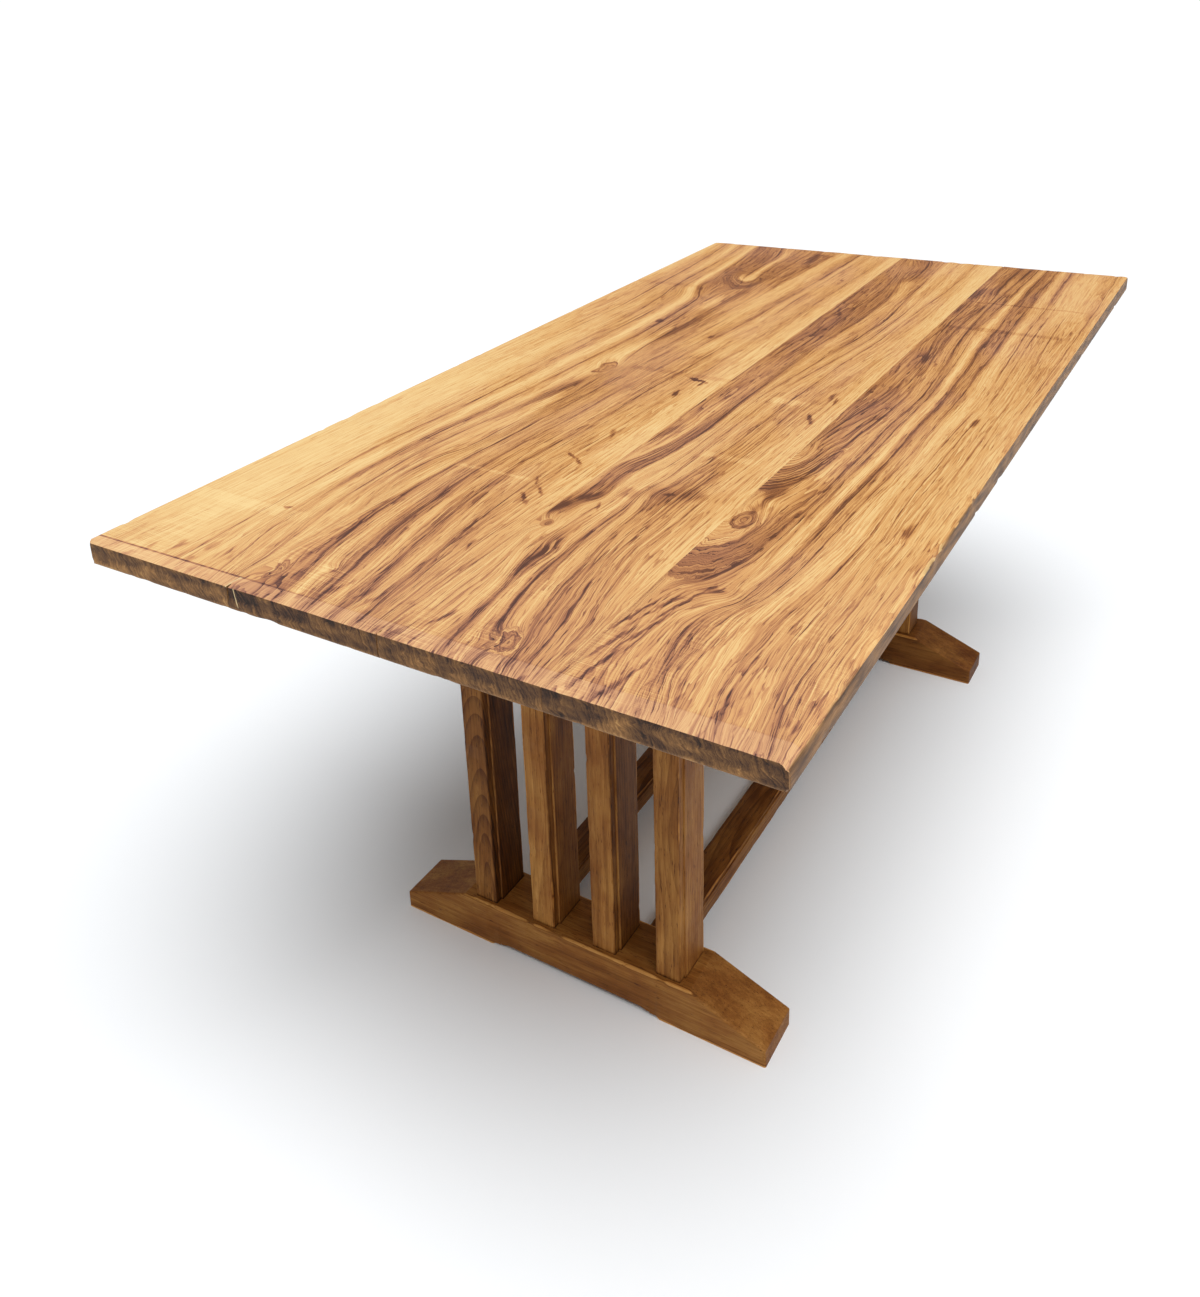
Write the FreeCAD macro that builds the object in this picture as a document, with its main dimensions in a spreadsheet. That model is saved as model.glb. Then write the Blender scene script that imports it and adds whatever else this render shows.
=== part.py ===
import FreeCAD, Part
import math
import os
import re
import Sketcher

# Trestle dining table, in millimetres.
# +X runs along the table from the near end to the far end, +Y across it to the left, +Z up.
# The origin is on the floor under the middle of the top.

# Driving dimensions: name, value, what it measures.
SIZES = (
    # The top: four solid boards edge-glued into one slab.
    ("table_length", 1800, "top, end to end"),
    ("table_width", 900, "top, edge to edge"),
    ("table_height", 760, "floor to the upper face of the top"),
    ("top_thickness", 30, "top, upper face to underside"),
    ("seam_one_near", 209, "first glue seam, left of the middle at the near end"),
    ("seam_one_far", 145, "first glue seam, left of the middle at the far end"),
    ("seam_two_near", -5, "second glue seam, left of the middle at the near end"),
    ("seam_two_far", 5, "second glue seam, left of the middle at the far end"),
    ("seam_three_near", -205, "third glue seam at the near end"),
    ("seam_three_far", -207, "third glue seam at the far end"),
    ("bevel_run_left", 21, "planed end bevel, inwards from the end at the left edge"),
    ("bevel_run_right", 32, "planed end bevel, inwards from the end at the right edge"),
    ("bevel_drop_left", 4, "planed end bevel, fall at the left edge"),
    ("bevel_drop_right", 1, "planed end bevel, fall at the right edge"),
    ("corner_round", 4, "three sawn corners of the top, seen from above"),
    ("corner_round_worn", 26, "the worn corner at the far left"),
    ("lower_arris_round", 6, "lower edge of the top, all round"),
    ("upper_arris_round", 1.5, "upper long edges of the top"),
    # Loose tongues in the glue seams.
    ("tongue_width", 20, "across the seam"),
    ("tongue_thickness", 8, "up and down"),
    ("tongue_stop", 60, "from each end of the top to the end of the groove"),
    ("tongue_chamfer", 1, "long arrises of the tongue"),
    # The two trestles.
    ("trestle_spacing", 1040, "middle of one trestle to the middle of the other"),
    ("foot_length", 605, "foot, across the table"),
    ("foot_width", 85, "foot, along the table"),
    ("foot_height", 74, "foot, floor to its flat top"),
    ("foot_end_height", 28, "height left at the toe of the foot"),
    ("foot_shelf", 13.5, "flat top of the foot beyond the outer posts, where the toe starts to slope"),
    ("foot_hollow_length", 286, "hollow under the foot, from pad to pad"),
    ("foot_hollow_ramp", 30, "slope at each end of the hollow"),
    ("foot_hollow_depth", 9.5, "height of the hollow"),
    ("foot_arris_round", 3, "worn arrises of the foot"),
    ("bearer_length", 700, "bearer under the top, across the table"),
    ("bearer_width", 85, "bearer, along the table"),
    ("bearer_height", 60, "bearer, up and down"),
    ("bearer_end_height", 30, "height left at the end of the bearer"),
    ("bearer_shelf", 61, "flat underside of the bearer beyond the outer posts"),
    ("bearer_arris_chamfer", 2, "lower and upright arrises of the bearer"),
    # The four posts of each trestle.
    ("post_pitch", 102, "middle of one post to the middle of the next"),
    ("post_width", 44, "post, across the table"),
    ("post_depth", 70, "post, along the table"),
    ("post_rabbet_width", 3, "step at the outer corners, across the table"),
    ("post_rabbet_depth", 12, "step at the outer corners, along the table"),
    ("post_arris_chamfer", 1, "long arrises of the post"),
    ("post_tenon_width", 26, "tenon, across the table"),
    ("post_tenon_depth", 46, "tenon, along the table"),
    ("foot_tenon_length", 42, "tenon that enters the foot"),
    ("bearer_tenon_length", 38, "tenon that enters the bearer"),
    # The two stretchers between the feet.
    ("stretcher_bottom", 27, "floor to the underside of a stretcher"),
    ("stretcher_width", 54, "stretcher, across the table"),
    ("stretcher_height", 33, "stretcher, up and down"),
    ("stretcher_rabbet_width", 2.5, "step at the upper corners, across the table"),
    ("stretcher_rabbet_depth", 5, "step at the upper corners, down the side"),
    ("stretcher_arris_chamfer", 1, "long arrises of the stretcher"),
    ("stretcher_tenon_width", 34, "tenon, across the table"),
    ("stretcher_tenon_height", 17, "tenon, up and down"),
    ("stretcher_tenon_length", 36, "tenon that enters the foot"),
    # Fits and fastenings.
    ("joint_clearance", 0.2, "between each cheek of a tenon or tongue and its wall"),
    ("glue_gap", 2, "between the end of a tenon and the bottom of its mortise"),
    ("tenon_chamfer", 2, "lead-in round the end of a tenon"),
    ("screw_inset", 44, "end of the bearer to the outer screws"),
    ("screw_beside_seam", 18, "middle screw, right of the middle line, clear of the tongue there"),
    ("screw_seat_depth", 30, "upper face of the bearer to the seat of the washer"),
    ("counterbore_radius", 10, "bore that takes the screw head and washer"),
    ("slot_width", 7, "slot that lets the top move, along the table"),
    ("slot_length", 14, "slot that lets the top move, across the table"),
    ("screw_pass_radius", 2.8, "plain hole for the middle screw, which keeps the top centred"),
    ("washer_radius", 9, "washer, outside"),
    ("washer_bore_radius", 2.8, "washer, inside"),
    ("washer_thickness", 1.5, "washer"),
    ("screw_shank_radius", 2.5, "wood screw, shank"),
    ("screw_reach", 18.5, "wood screw, how far it enters the top"),
    ("screw_point_length", 6, "wood screw, tapered point"),
    ("screw_point_radius", 0.6, "wood screw, end of the point"),
    ("screw_head_flats", 8, "wood screw, across the flats of its hexagon head"),
    ("screw_head_height", 3.5, "wood screw, hexagon head"),
    ("screw_hole_clearance", 0.1, "round the shank in the top"),
    ("screw_hole_extra_depth", 2, "beyond the point of the screw"),
)
SHEET = "Sizes"
POSTS_PER_TRESTLE = 4
SEAMS = ("one", "two", "three")
# Name, sign of X and turn of the two trestles, whose outer faces look away from each other.
TRESTLES = (("near", "-", False), ("far", "", True))
# Each bearer holds the top with a screw in its middle, which a driver reaches between the two
# inner posts, and one near each end.
OUTER_SCREW = "(bearer_length / 2 - screw_inset)"
SCREWS = (("left", OUTER_SCREW), ("middle", "-screw_beside_seam"), ("right", f"-{OUTER_SCREW}"))
TURNED_ROUND = FreeCAD.Rotation(FreeCAD.Vector(0, 0, 1), 180)
ANGLE_TOLERANCE = 0.001
PLACE_TOLERANCE = 0.01
LEAST_VOLUME_CHANGE = 1


# ---------------------------------------------------------------- general helpers

def fill_sheet(doc):
    """Write the driving dimensions into the document's sheet, one row each."""
    sheet = doc.addObject("Spreadsheet::Sheet", SHEET)
    for row, (name, value, meaning) in enumerate(SIZES, start=1):
        sheet.set(f"A{row}", name)
        sheet.set(f"B{row}", str(value))
        sheet.set(f"C{row}", meaning)
        sheet.setAlias(f"B{row}", name)
    doc.recompute()


def formula(text):
    """Point each size that a formula names at its cell in the sheet."""
    return re.sub(r"\b([a-z]+_[a-z_]+)\b", SHEET + r".\1", text)


def bind(item, prop, text):
    """Tie a property to a formula in the named sizes."""
    item.setExpression(prop, formula(text))


def place(item, position, turned=False):
    """Bind an item's position to (x, y, z) formulas, and turn it end for end if asked."""
    if turned:
        item.Placement = FreeCAD.Placement(FreeCAD.Vector(0, 0, 0), TURNED_ROUND)
    for axis, text in zip("xyz", position):
        bind(item, f"Placement.Base.{axis}", text)


def new_body(doc, name, position=("0", "0", "0"), turned=False):
    """Start a body with its name and place."""
    body = doc.addObject("PartDesign::Body", name)
    body.Label = name
    place(body, position, turned)
    return body


def new_sketch(body, name, plane, height="0"):
    """Start a sketch on one of the body's own origin planes, raised along the plane's normal."""
    roles = {feature.Role: feature for feature in body.Origin.OriginFeatures}
    sketch = body.newObject("Sketcher::SketchObject", f"{body.Name}_{name}")
    sketch.AttachmentSupport = (roles[plane], [""])
    sketch.MapMode = "FlatFace"
    bind(sketch, "AttachmentOffset.Base.z", height)
    return sketch


def add_outline(sketch, corners):
    """Draw a closed straight-sided outline whose corners follow their formulas."""
    first = sketch.GeometryCount
    count = len(corners)
    turns = [2 * math.pi * step / count for step in range(count + 1)]
    points = [FreeCAD.Vector(math.cos(turn), math.sin(turn), 0) for turn in turns]
    for step in range(count):
        sketch.addGeometry(Part.LineSegment(points[step], points[step + 1]), False)
    for step in range(count):
        follower = first + (step + 1) % count
        sketch.addConstraint(Sketcher.Constraint("Coincident", first + step, 2, follower, 1))
    for step, corner in enumerate(corners):
        for direction, text in zip(("DistanceX", "DistanceY"), corner):
            tie = Sketcher.Constraint(direction, -1, 1, first + step, 1, 1.0)
            number = sketch.addConstraint(tie)
            bind(sketch, f"Constraints[{number}]", text)


def add_rectangle(sketch, middle, width, height):
    """Draw a rectangle by its middle and its two sizes."""
    left, right = f"{middle[0]} - ({width}) / 2", f"{middle[0]} + ({width}) / 2"
    low, high = f"{middle[1]} - ({height}) / 2", f"{middle[1]} + ({height}) / 2"
    add_outline(sketch, ((left, low), (right, low), (right, high), (left, high)))


def add_circle(sketch, middle, radius):
    """Draw a circle by its middle and its radius."""
    circle = sketch.addGeometry(Part.Circle(FreeCAD.Vector(0, 0, 0), FreeCAD.Vector(0, 0, 1), 1), False)
    for direction, text in zip(("DistanceX", "DistanceY"), middle):
        number = sketch.addConstraint(Sketcher.Constraint(direction, -1, 1, circle, 3, 1.0))
        bind(sketch, f"Constraints[{number}]", text)
    number = sketch.addConstraint(Sketcher.Constraint("Radius", circle, 1.0))
    bind(sketch, f"Constraints[{number}]", radius)


def add_feature(body, kind, name, sketch, length, midplane=False, reverse=False):
    """Pad or pocket a sketch by a length, and make sure that it changed the solid the right way."""
    body.Document.recompute()
    before = body.Shape.Volume if body.Tip else 0
    feature = body.newObject(f"PartDesign::{kind}", f"{body.Name}_{name}")
    feature.Profile = sketch
    feature.Midplane = midplane
    feature.Reversed = reverse
    bind(feature, "Length", length)
    sketch.Visibility = False
    body.Document.recompute()
    growth = body.Shape.Volume - before
    if kind == "Pocket":
        growth = -growth
    if growth < LEAST_VOLUME_CHANGE:
        raise RuntimeError(f"{feature.Name} leaves the solid as it was")
    return feature


def add_row(body, name, feature, sketch, spacing, count):
    """Repeat a feature in a row along the sketch's vertical axis."""
    before = body.Shape.Volume
    row = body.newObject("PartDesign::LinearPattern", f"{body.Name}_{name}")
    row.Originals = [feature]
    row.Direction = (sketch, ["V_Axis"])
    row.Occurrences = count
    bind(row, "Length", f"{spacing} * {count - 1}")
    body.Tip = row
    body.Document.recompute()
    if abs(body.Shape.Volume - before) < LEAST_VOLUME_CHANGE:
        raise RuntimeError(f"{row.Name} repeats nothing")


def edge_names(shape, wanted):
    """Names of the edges whose middle point and direction the test accepts."""
    names = []
    for number, edge in enumerate(shape.Edges, start=1):
        middle = edge.valueAt((edge.FirstParameter + edge.LastParameter) / 2)
        chord = edge.valueAt(edge.LastParameter) - edge.valueAt(edge.FirstParameter)
        direction = chord / chord.Length if chord.Length else chord
        if wanted(middle, direction):
            names.append(f"Edge{number}")
    return names


def dress(body, kind, name, wanted, prop, amount):
    """Round or chamfer the edges that the test accepts."""
    body.Document.recompute()
    base = body.Tip
    names = edge_names(base.Shape, wanted)
    if not names:
        raise RuntimeError(f"{body.Name} has no edge for {name}")
    feature = body.newObject(f"PartDesign::{kind}", f"{body.Name}_{name}")
    feature.Base = (base, names)
    bind(feature, prop, amount)
    body.Document.recompute()


def value_of(doc, name):
    """A driving dimension's present value."""
    return float(doc.getObject(SHEET).get(name))


def runs_along(direction, axis):
    """Whether a unit direction is parallel to an axis, 0 for X, 1 for Y and 2 for Z."""
    return abs(abs(direction[axis]) - 1) < ANGLE_TOLERANCE


def is_near(value, target):
    """Whether two places are the same."""
    return abs(value - target) < PLACE_TOLERANCE


# ---------------------------------------------------------------- the top

def seam_at(name, end):
    """Formula for a seam's distance from the middle line at one end of the top."""
    return f"seam_{name}_{end}"


def build_slab(doc):
    """The glued-up slab: sawn outline, planed end bevels, eased arrises and pilot holes."""
    body = new_body(doc, "top_slab", ("0", "0", "table_height - top_thickness"))
    plan = new_sketch(body, "plan", "XY_Plane")
    add_rectangle(plan, ("0", "0"), "table_length", "table_width")
    add_feature(body, "Pad", "thickness", plan, "top_thickness")
    round_corners(body)
    bevel_ends(body)
    round_arrises(body)
    drill_pilot_holes(body)
    return body


def round_corners(body):
    """Three corners of the outline are barely eased, and the far left one is worn round."""
    def is_worn(middle, direction):
        return runs_along(direction, 2) and middle.x > 0 and middle.y > 0

    def is_sawn(middle, direction):
        return runs_along(direction, 2) and (middle.x < 0 or middle.y < 0)

    dress(body, "Fillet", "worn_corner", is_worn, "Radius", "corner_round_worn")
    dress(body, "Fillet", "sawn_corners", is_sawn, "Radius", "corner_round")


def bevel_ends(body):
    """A shallow bevel planed across each end, which fades from the left edge to the right."""
    sections = []
    for side, height in (("left", "-table_width / 2"), ("right", "table_width / 2")):
        # The XZ plane's normal points to -Y.
        sketch = new_sketch(body, f"bevel_{side}", "XZ_Plane", height)
        run, drop = f"bevel_run_{side}", f"bevel_drop_{side}"
        inner = f"{run} - table_length / 2"
        outer = f"-{run} - table_length / 2"
        corners = ((inner, "top_thickness"), (outer, "top_thickness"),
                   (outer, f"top_thickness - 2 * {drop}"))
        add_outline(sketch, corners)
        sections.append(sketch)
    body.Document.recompute()
    before = body.Shape.Volume
    bevel = body.newObject("PartDesign::SubtractiveLoft", "top_slab_near_bevel")
    bevel.Profile = sections[0]
    bevel.Sections = [(sections[1], [""])]
    bevel.Ruled = True
    body.Document.recompute()
    far_bevel = body.newObject("PartDesign::Mirrored", "top_slab_far_bevel")
    far_bevel.Originals = [bevel]
    far_bevel.MirrorPlane = (sections[0], ["V_Axis"])
    body.Tip = far_bevel
    body.Document.recompute()
    if before - body.Shape.Volume < LEAST_VOLUME_CHANGE:
        raise RuntimeError("the end bevels cut nothing")


def round_arrises(body):
    """The lower edge is well rounded all round, and the upper long edges are only eased."""
    half_width = value_of(body.Document, "table_width") / 2
    thickness = value_of(body.Document, "top_thickness")

    def is_lower(middle, direction):
        return is_near(middle.z, 0)

    def is_upper_long(middle, direction):
        flat = is_near(middle.z, thickness)
        return flat and runs_along(direction, 0) and is_near(abs(middle.y), half_width)

    dress(body, "Fillet", "lower_arris", is_lower, "Radius", "lower_arris_round")
    dress(body, "Fillet", "upper_arris", is_upper_long, "Radius", "upper_arris_round")


def drill_pilot_holes(body):
    """One blind hole in the underside for each screw."""
    plan = new_sketch(body, "pilot_plan", "XY_Plane")
    for _, side, _ in TRESTLES:
        for _, across in SCREWS:
            middle = (f"{side}trestle_spacing / 2", across)
            add_circle(plan, middle, "screw_shank_radius + screw_hole_clearance")
    depth = "screw_reach + screw_hole_extra_depth"
    add_feature(body, "Pocket", "pilot_holes", plan, depth, reverse=True)


def seam_turn(name):
    """Formula for the angle of a seam to the length of the table."""
    return f"atan(({seam_at(name, 'far')} - {seam_at(name, 'near')}) / table_length)"


def seam_middle(name):
    """Formula for a seam's distance from the middle line, half way along."""
    return f"({seam_at(name, 'near')} + {seam_at(name, 'far')}) / 2"


def along_seam(item, name):
    """Lay an item along a seam, half way up the slab."""
    place(item, ("0", seam_middle(name), "table_height - top_thickness / 2"))
    bind(item, "Placement.Rotation.Angle", seam_turn(name))


def tongue_length(name):
    """Formula for the length of the tongue along its seam."""
    return f"(table_length - 2 * tongue_stop) / cos({seam_turn(name)})"


def build_tongue_blank(doc, title, name, extra):
    """A plain strip along a seam, larger all round by the extra given."""
    body = new_body(doc, title)
    along_seam(body, name)
    section = new_sketch(body, "section", "YZ_Plane")
    width = f"tongue_width + 2 * {extra}"
    add_rectangle(section, ("0", "0"), width, f"tongue_thickness + 2 * {extra}")
    length = f"{tongue_length(name)} + 2 * {extra}"
    add_feature(body, "Pad", "strip", section, length, midplane=True)
    return body


def build_tongue(doc, name):
    """A loose tongue that keeps two boards flush across their seam."""
    body = build_tongue_blank(doc, f"seam_tongue_{name}", name, "0")

    def is_long(middle, direction):
        return runs_along(direction, 0)

    dress(body, "Chamfer", "arrises", is_long, "Size", "tongue_chamfer")
    return body


def groove_slab(doc, slab):
    """The slab with the stopped grooves that its tongues lie in."""
    grooves = doc.addObject("Part::MultiFuse", "seam_grooves")
    names = [f"seam_groove_{name}" for name in SEAMS]
    grooves.Shapes = [build_tongue_blank(doc, title, name, "joint_clearance")
                      for title, name in zip(names, SEAMS)]
    grooved = doc.addObject("Part::Cut", "grooved_slab")
    grooved.Base = slab
    grooved.Tool = grooves
    doc.recompute()
    return grooved


def build_board(doc, number, slab):
    """One board of the top: the part of the slab between two seams."""
    beyond = "table_width"
    edges = [(beyond, beyond)]
    edges += [(seam_at(name, "near"), seam_at(name, "far")) for name in SEAMS]
    edges += [(f"-{beyond}", f"-{beyond}")]
    left, right = edges[number - 1], edges[number]
    zone = new_body(doc, f"board_zone_{number}", ("0", "0", "table_height - 2 * top_thickness"))
    plan = new_sketch(zone, "plan", "XY_Plane")
    # The seams are given at the ends of the top, so the zone is exactly as long as the top.
    near, far = "-table_length / 2", "table_length / 2"
    corners = ((near, right[0]), (far, right[1]), (far, left[1]), (near, left[0]))
    add_outline(plan, corners)
    add_feature(zone, "Pad", "height", plan, "3 * top_thickness")
    board = doc.addObject("Part::Common", f"top_board_{number}")
    board.Label = f"top_board_{number}"
    board.Base = slab
    board.Tool = zone
    board.Refine = True
    return board


def build_top(doc):
    """Four boards and the three loose tongues between them."""
    slab = groove_slab(doc, build_slab(doc))
    boards = [build_board(doc, number, slab) for number in range(1, len(SEAMS) + 2)]
    tongues = [build_tongue(doc, name) for name in SEAMS]
    return boards + tongues


# ---------------------------------------------------------------- the trestles

def post_place(index):
    """Formula for a post's distance from the middle line of the trestle."""
    return f"post_pitch * {index - (POSTS_PER_TRESTLE - 1) / 2}"


def beyond_posts(shelf):
    """Formula for how far from the middle line a slope starts, past the outer post's face."""
    return f"(post_pitch * {(POSTS_PER_TRESTLE - 1) / 2} + post_width / 2 + {shelf})"


def cut_post_mortises(body, height, depth, reverse):
    """A row of mortises for the posts, from one face of a foot or bearer."""
    sketch = new_sketch(body, "post_mortise_plan", "XY_Plane", height)
    width = "post_tenon_depth + 2 * joint_clearance"
    length = "post_tenon_width + 2 * joint_clearance"
    add_rectangle(sketch, ("0", post_place(0)), width, length)
    mortise = add_feature(body, "Pocket", "post_mortise", sketch, depth, reverse=reverse)
    add_row(body, "post_mortise_row", mortise, sketch, "post_pitch", POSTS_PER_TRESTLE)


def build_foot(doc, end, side, turned):
    """A foot: sloping toes, a hollow underside, and mortises for posts and stretchers."""
    body = new_body(doc, f"{end}_foot", (f"{side}trestle_spacing / 2", "0", "0"), turned)
    profile = new_sketch(body, "profile", "YZ_Plane")
    toe, shoulder = "foot_length / 2", beyond_posts("foot_shelf")
    corners = ((f"-{toe}", "0"), (toe, "0"), (toe, "foot_end_height"), (shoulder, "foot_height"),
               (f"-{shoulder}", "foot_height"), (f"-{toe}", "foot_end_height"))
    add_outline(profile, corners)
    add_feature(body, "Pad", "blank", profile, "foot_width", midplane=True)

    def is_worn(middle, direction):
        return middle.z > PLACE_TOLERANCE

    dress(body, "Fillet", "worn_arrises", is_worn, "Radius", "foot_arris_round")
    hollow = new_sketch(body, "hollow", "YZ_Plane")
    pad, flat = "foot_hollow_length / 2", "(foot_hollow_length / 2 - foot_hollow_ramp)"
    arch = ((f"-{pad}", "0"), (pad, "0"), (flat, "foot_hollow_depth"), (f"-{flat}", "foot_hollow_depth"))
    add_outline(hollow, arch)
    add_feature(body, "Pocket", "underside", hollow, "2 * foot_width", midplane=True)
    cut_post_mortises(body, "foot_height", "foot_tenon_length + glue_gap", False)
    cut_stretcher_mortises(body)
    return body


def stretcher_place(side):
    """Formula for a stretcher's distance from the middle line: it faces a gap between posts."""
    return f"{side}post_pitch"


def cut_stretcher_mortises(body):
    """Two mortises in the inner face of a foot."""
    sketch = new_sketch(body, "stretcher_mortise_face", "YZ_Plane", "foot_width / 2")
    width = "stretcher_tenon_width + 2 * joint_clearance"
    height = "stretcher_tenon_height + 2 * joint_clearance"
    middle_height = "stretcher_bottom + stretcher_height / 2"
    for side in ("", "-"):
        add_rectangle(sketch, (stretcher_place(side), middle_height), width, height)
    depth = "stretcher_tenon_length + glue_gap"
    add_feature(body, "Pocket", "stretcher_mortises", sketch, depth)


def build_bearer(doc, end, side, turned):
    """A bearer under the top: sloping ends, post mortises, and counterbored holes for screws."""
    underside = "table_height - top_thickness - bearer_height"
    body = new_body(doc, f"{end}_bearer", (f"{side}trestle_spacing / 2", "0", underside), turned)
    profile = new_sketch(body, "profile", "YZ_Plane")
    tip, shoulder = "bearer_length / 2", beyond_posts("bearer_shelf")
    rise = "bearer_height - bearer_end_height"
    corners = ((f"-{shoulder}", "0"), (shoulder, "0"), (tip, rise), (tip, "bearer_height"),
               (f"-{tip}", "bearer_height"), (f"-{tip}", rise))
    add_outline(profile, corners)
    add_feature(body, "Pad", "blank", profile, "bearer_width", midplane=True)
    top_face = value_of(doc, "bearer_height")

    def is_lower(middle, direction):
        return middle.z < top_face - PLACE_TOLERANCE

    dress(body, "Chamfer", "arrises", is_lower, "Size", "bearer_arris_chamfer")
    cut_post_mortises(body, "0", "bearer_tenon_length + glue_gap", True)
    cut_screw_seats(body, turned)
    return body


def cut_screw_seats(body, turned):
    """Counterbores from below, with slots through to the top at the ends and a hole in the middle."""
    # A bearer that is turned end for end has its own left and right the other way round.
    flip = "-" if turned else ""
    places = {hand: ("0", f"{flip}({across})") for hand, across in SCREWS}
    seats = new_sketch(body, "seat_plan", "XY_Plane", "bearer_height - screw_seat_depth")
    for middle in places.values():
        add_circle(seats, middle, "counterbore_radius")
    add_feature(body, "Pocket", "counterbores", seats, "bearer_height")
    plain = new_sketch(body, "middle_hole_plan", "XY_Plane", "bearer_height")
    add_circle(plain, places["middle"], "screw_pass_radius")
    add_feature(body, "Pocket", "middle_hole", plain, "bearer_height")
    ends = new_sketch(body, "slot_plan", "XY_Plane", "bearer_height")
    bind(ends, "AttachmentOffset.Base.y", f"-{OUTER_SCREW}")
    add_slot(ends, "slot_width", "slot_length")
    slot = add_feature(body, "Pocket", "slot", ends, "bearer_height")
    add_row(body, "slots", slot, ends, f"2 * {OUTER_SCREW}", 2)


def add_slot(sketch, width, length):
    """Draw a slot with round ends round the sketch's origin, along its vertical axis."""
    # The outline starts at its real size, so that its tangent ends can only settle one way.
    radius = value_of(sketch.Document, width) / 2
    reach = value_of(sketch.Document, length) / 2 - radius
    up, right = FreeCAD.Vector(0, reach, 0), FreeCAD.Vector(radius, 0, 0)
    normal = FreeCAD.Vector(0, 0, 1)
    upper = Part.ArcOfCircle(Part.Circle(up, normal, radius), 0, math.pi)
    lower = Part.ArcOfCircle(Part.Circle(-up, normal, radius), math.pi, 2 * math.pi)
    top = sketch.addGeometry(upper, False)
    left_side = sketch.addGeometry(Part.LineSegment(up - right, -up - right), False)
    bottom = sketch.addGeometry(lower, False)
    right_side = sketch.addGeometry(Part.LineSegment(right - up, right + up), False)
    ring = (top, left_side, bottom, right_side)
    for piece, follower in zip(ring, ring[1:] + ring[:1]):
        sketch.addConstraint(Sketcher.Constraint("Tangent", piece, 2, follower, 1))
    sketch.addConstraint(Sketcher.Constraint("Equal", top, bottom))
    rounding = sketch.addConstraint(Sketcher.Constraint("Radius", top, radius))
    bind(sketch, f"Constraints[{rounding}]", f"{width} / 2")
    for arc, sign in ((top, 1), (bottom, -1)):
        sketch.addConstraint(Sketcher.Constraint("PointOnObject", arc, 3, -2))
        height = Sketcher.Constraint("DistanceY", -1, 1, arc, 3, sign * reach)
        number = sketch.addConstraint(height)
        bind(sketch, f"Constraints[{number}]", f"{sign} * ({length} - {width}) / 2")


def post_length():
    """Formula for a post between its shoulders."""
    return "(table_height - top_thickness - bearer_height - foot_height)"


def build_post(doc, end, side, turned, index):
    """A post: a slat with stepped outer corners and a tenon at each end."""
    across = f"{'-' if turned else ''}({post_place(index)})"
    place_on_foot = (f"{side}trestle_spacing / 2", across, "foot_height")
    body = new_body(doc, f"{end}_post_{index + 1}", place_on_foot, turned)
    section = new_sketch(body, "section", "XY_Plane")
    # The stepped corners are on the outer face, which looks to the body's own -X.
    front, back = "-post_depth / 2", "post_depth / 2"
    ledge = "(post_rabbet_depth - post_depth / 2)"
    half, narrow = "post_width / 2", "(post_width / 2 - post_rabbet_width)"
    corners = ((front, f"-{narrow}"), (ledge, f"-{narrow}"), (ledge, f"-{half}"), (back, f"-{half}"),
               (back, half), (ledge, half), (ledge, narrow), (front, narrow))
    add_outline(section, corners)
    add_feature(body, "Pad", "slat", section, post_length())
    ledge_x = value_of(doc, "post_rabbet_depth") - value_of(doc, "post_depth") / 2
    narrow_y = value_of(doc, "post_width") / 2 - value_of(doc, "post_rabbet_width")

    def is_arris(middle, direction):
        inner_corner = is_near(middle.x, ledge_x) and is_near(abs(middle.y), narrow_y)
        return runs_along(direction, 2) and not inner_corner

    dress(body, "Chamfer", "arrises", is_arris, "Size", "post_arris_chamfer")
    tenon = new_sketch(body, "tenon_section", "XY_Plane", "-foot_tenon_length")
    add_rectangle(tenon, ("0", "0"), "post_tenon_depth", "post_tenon_width")
    length = f"{post_length()} + foot_tenon_length + bearer_tenon_length"
    add_feature(body, "Pad", "tenons", tenon, length)
    chamfer_tenon_ends(body, 2)
    return body


def chamfer_tenon_ends(body, axis):
    """Chamfer the edges round both end faces of a piece that runs along an axis."""
    # The tip feature's shape is in the body's own frame, as the edges are.
    box = body.Tip.Shape.BoundBox
    ends = ((box.XMin, box.XMax), (box.YMin, box.YMax), (box.ZMin, box.ZMax))[axis]

    def is_end(middle, direction):
        return is_near(middle[axis], ends[0]) or is_near(middle[axis], ends[1])

    dress(body, "Chamfer", "tenon_ends", is_end, "Size", "tenon_chamfer")


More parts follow.
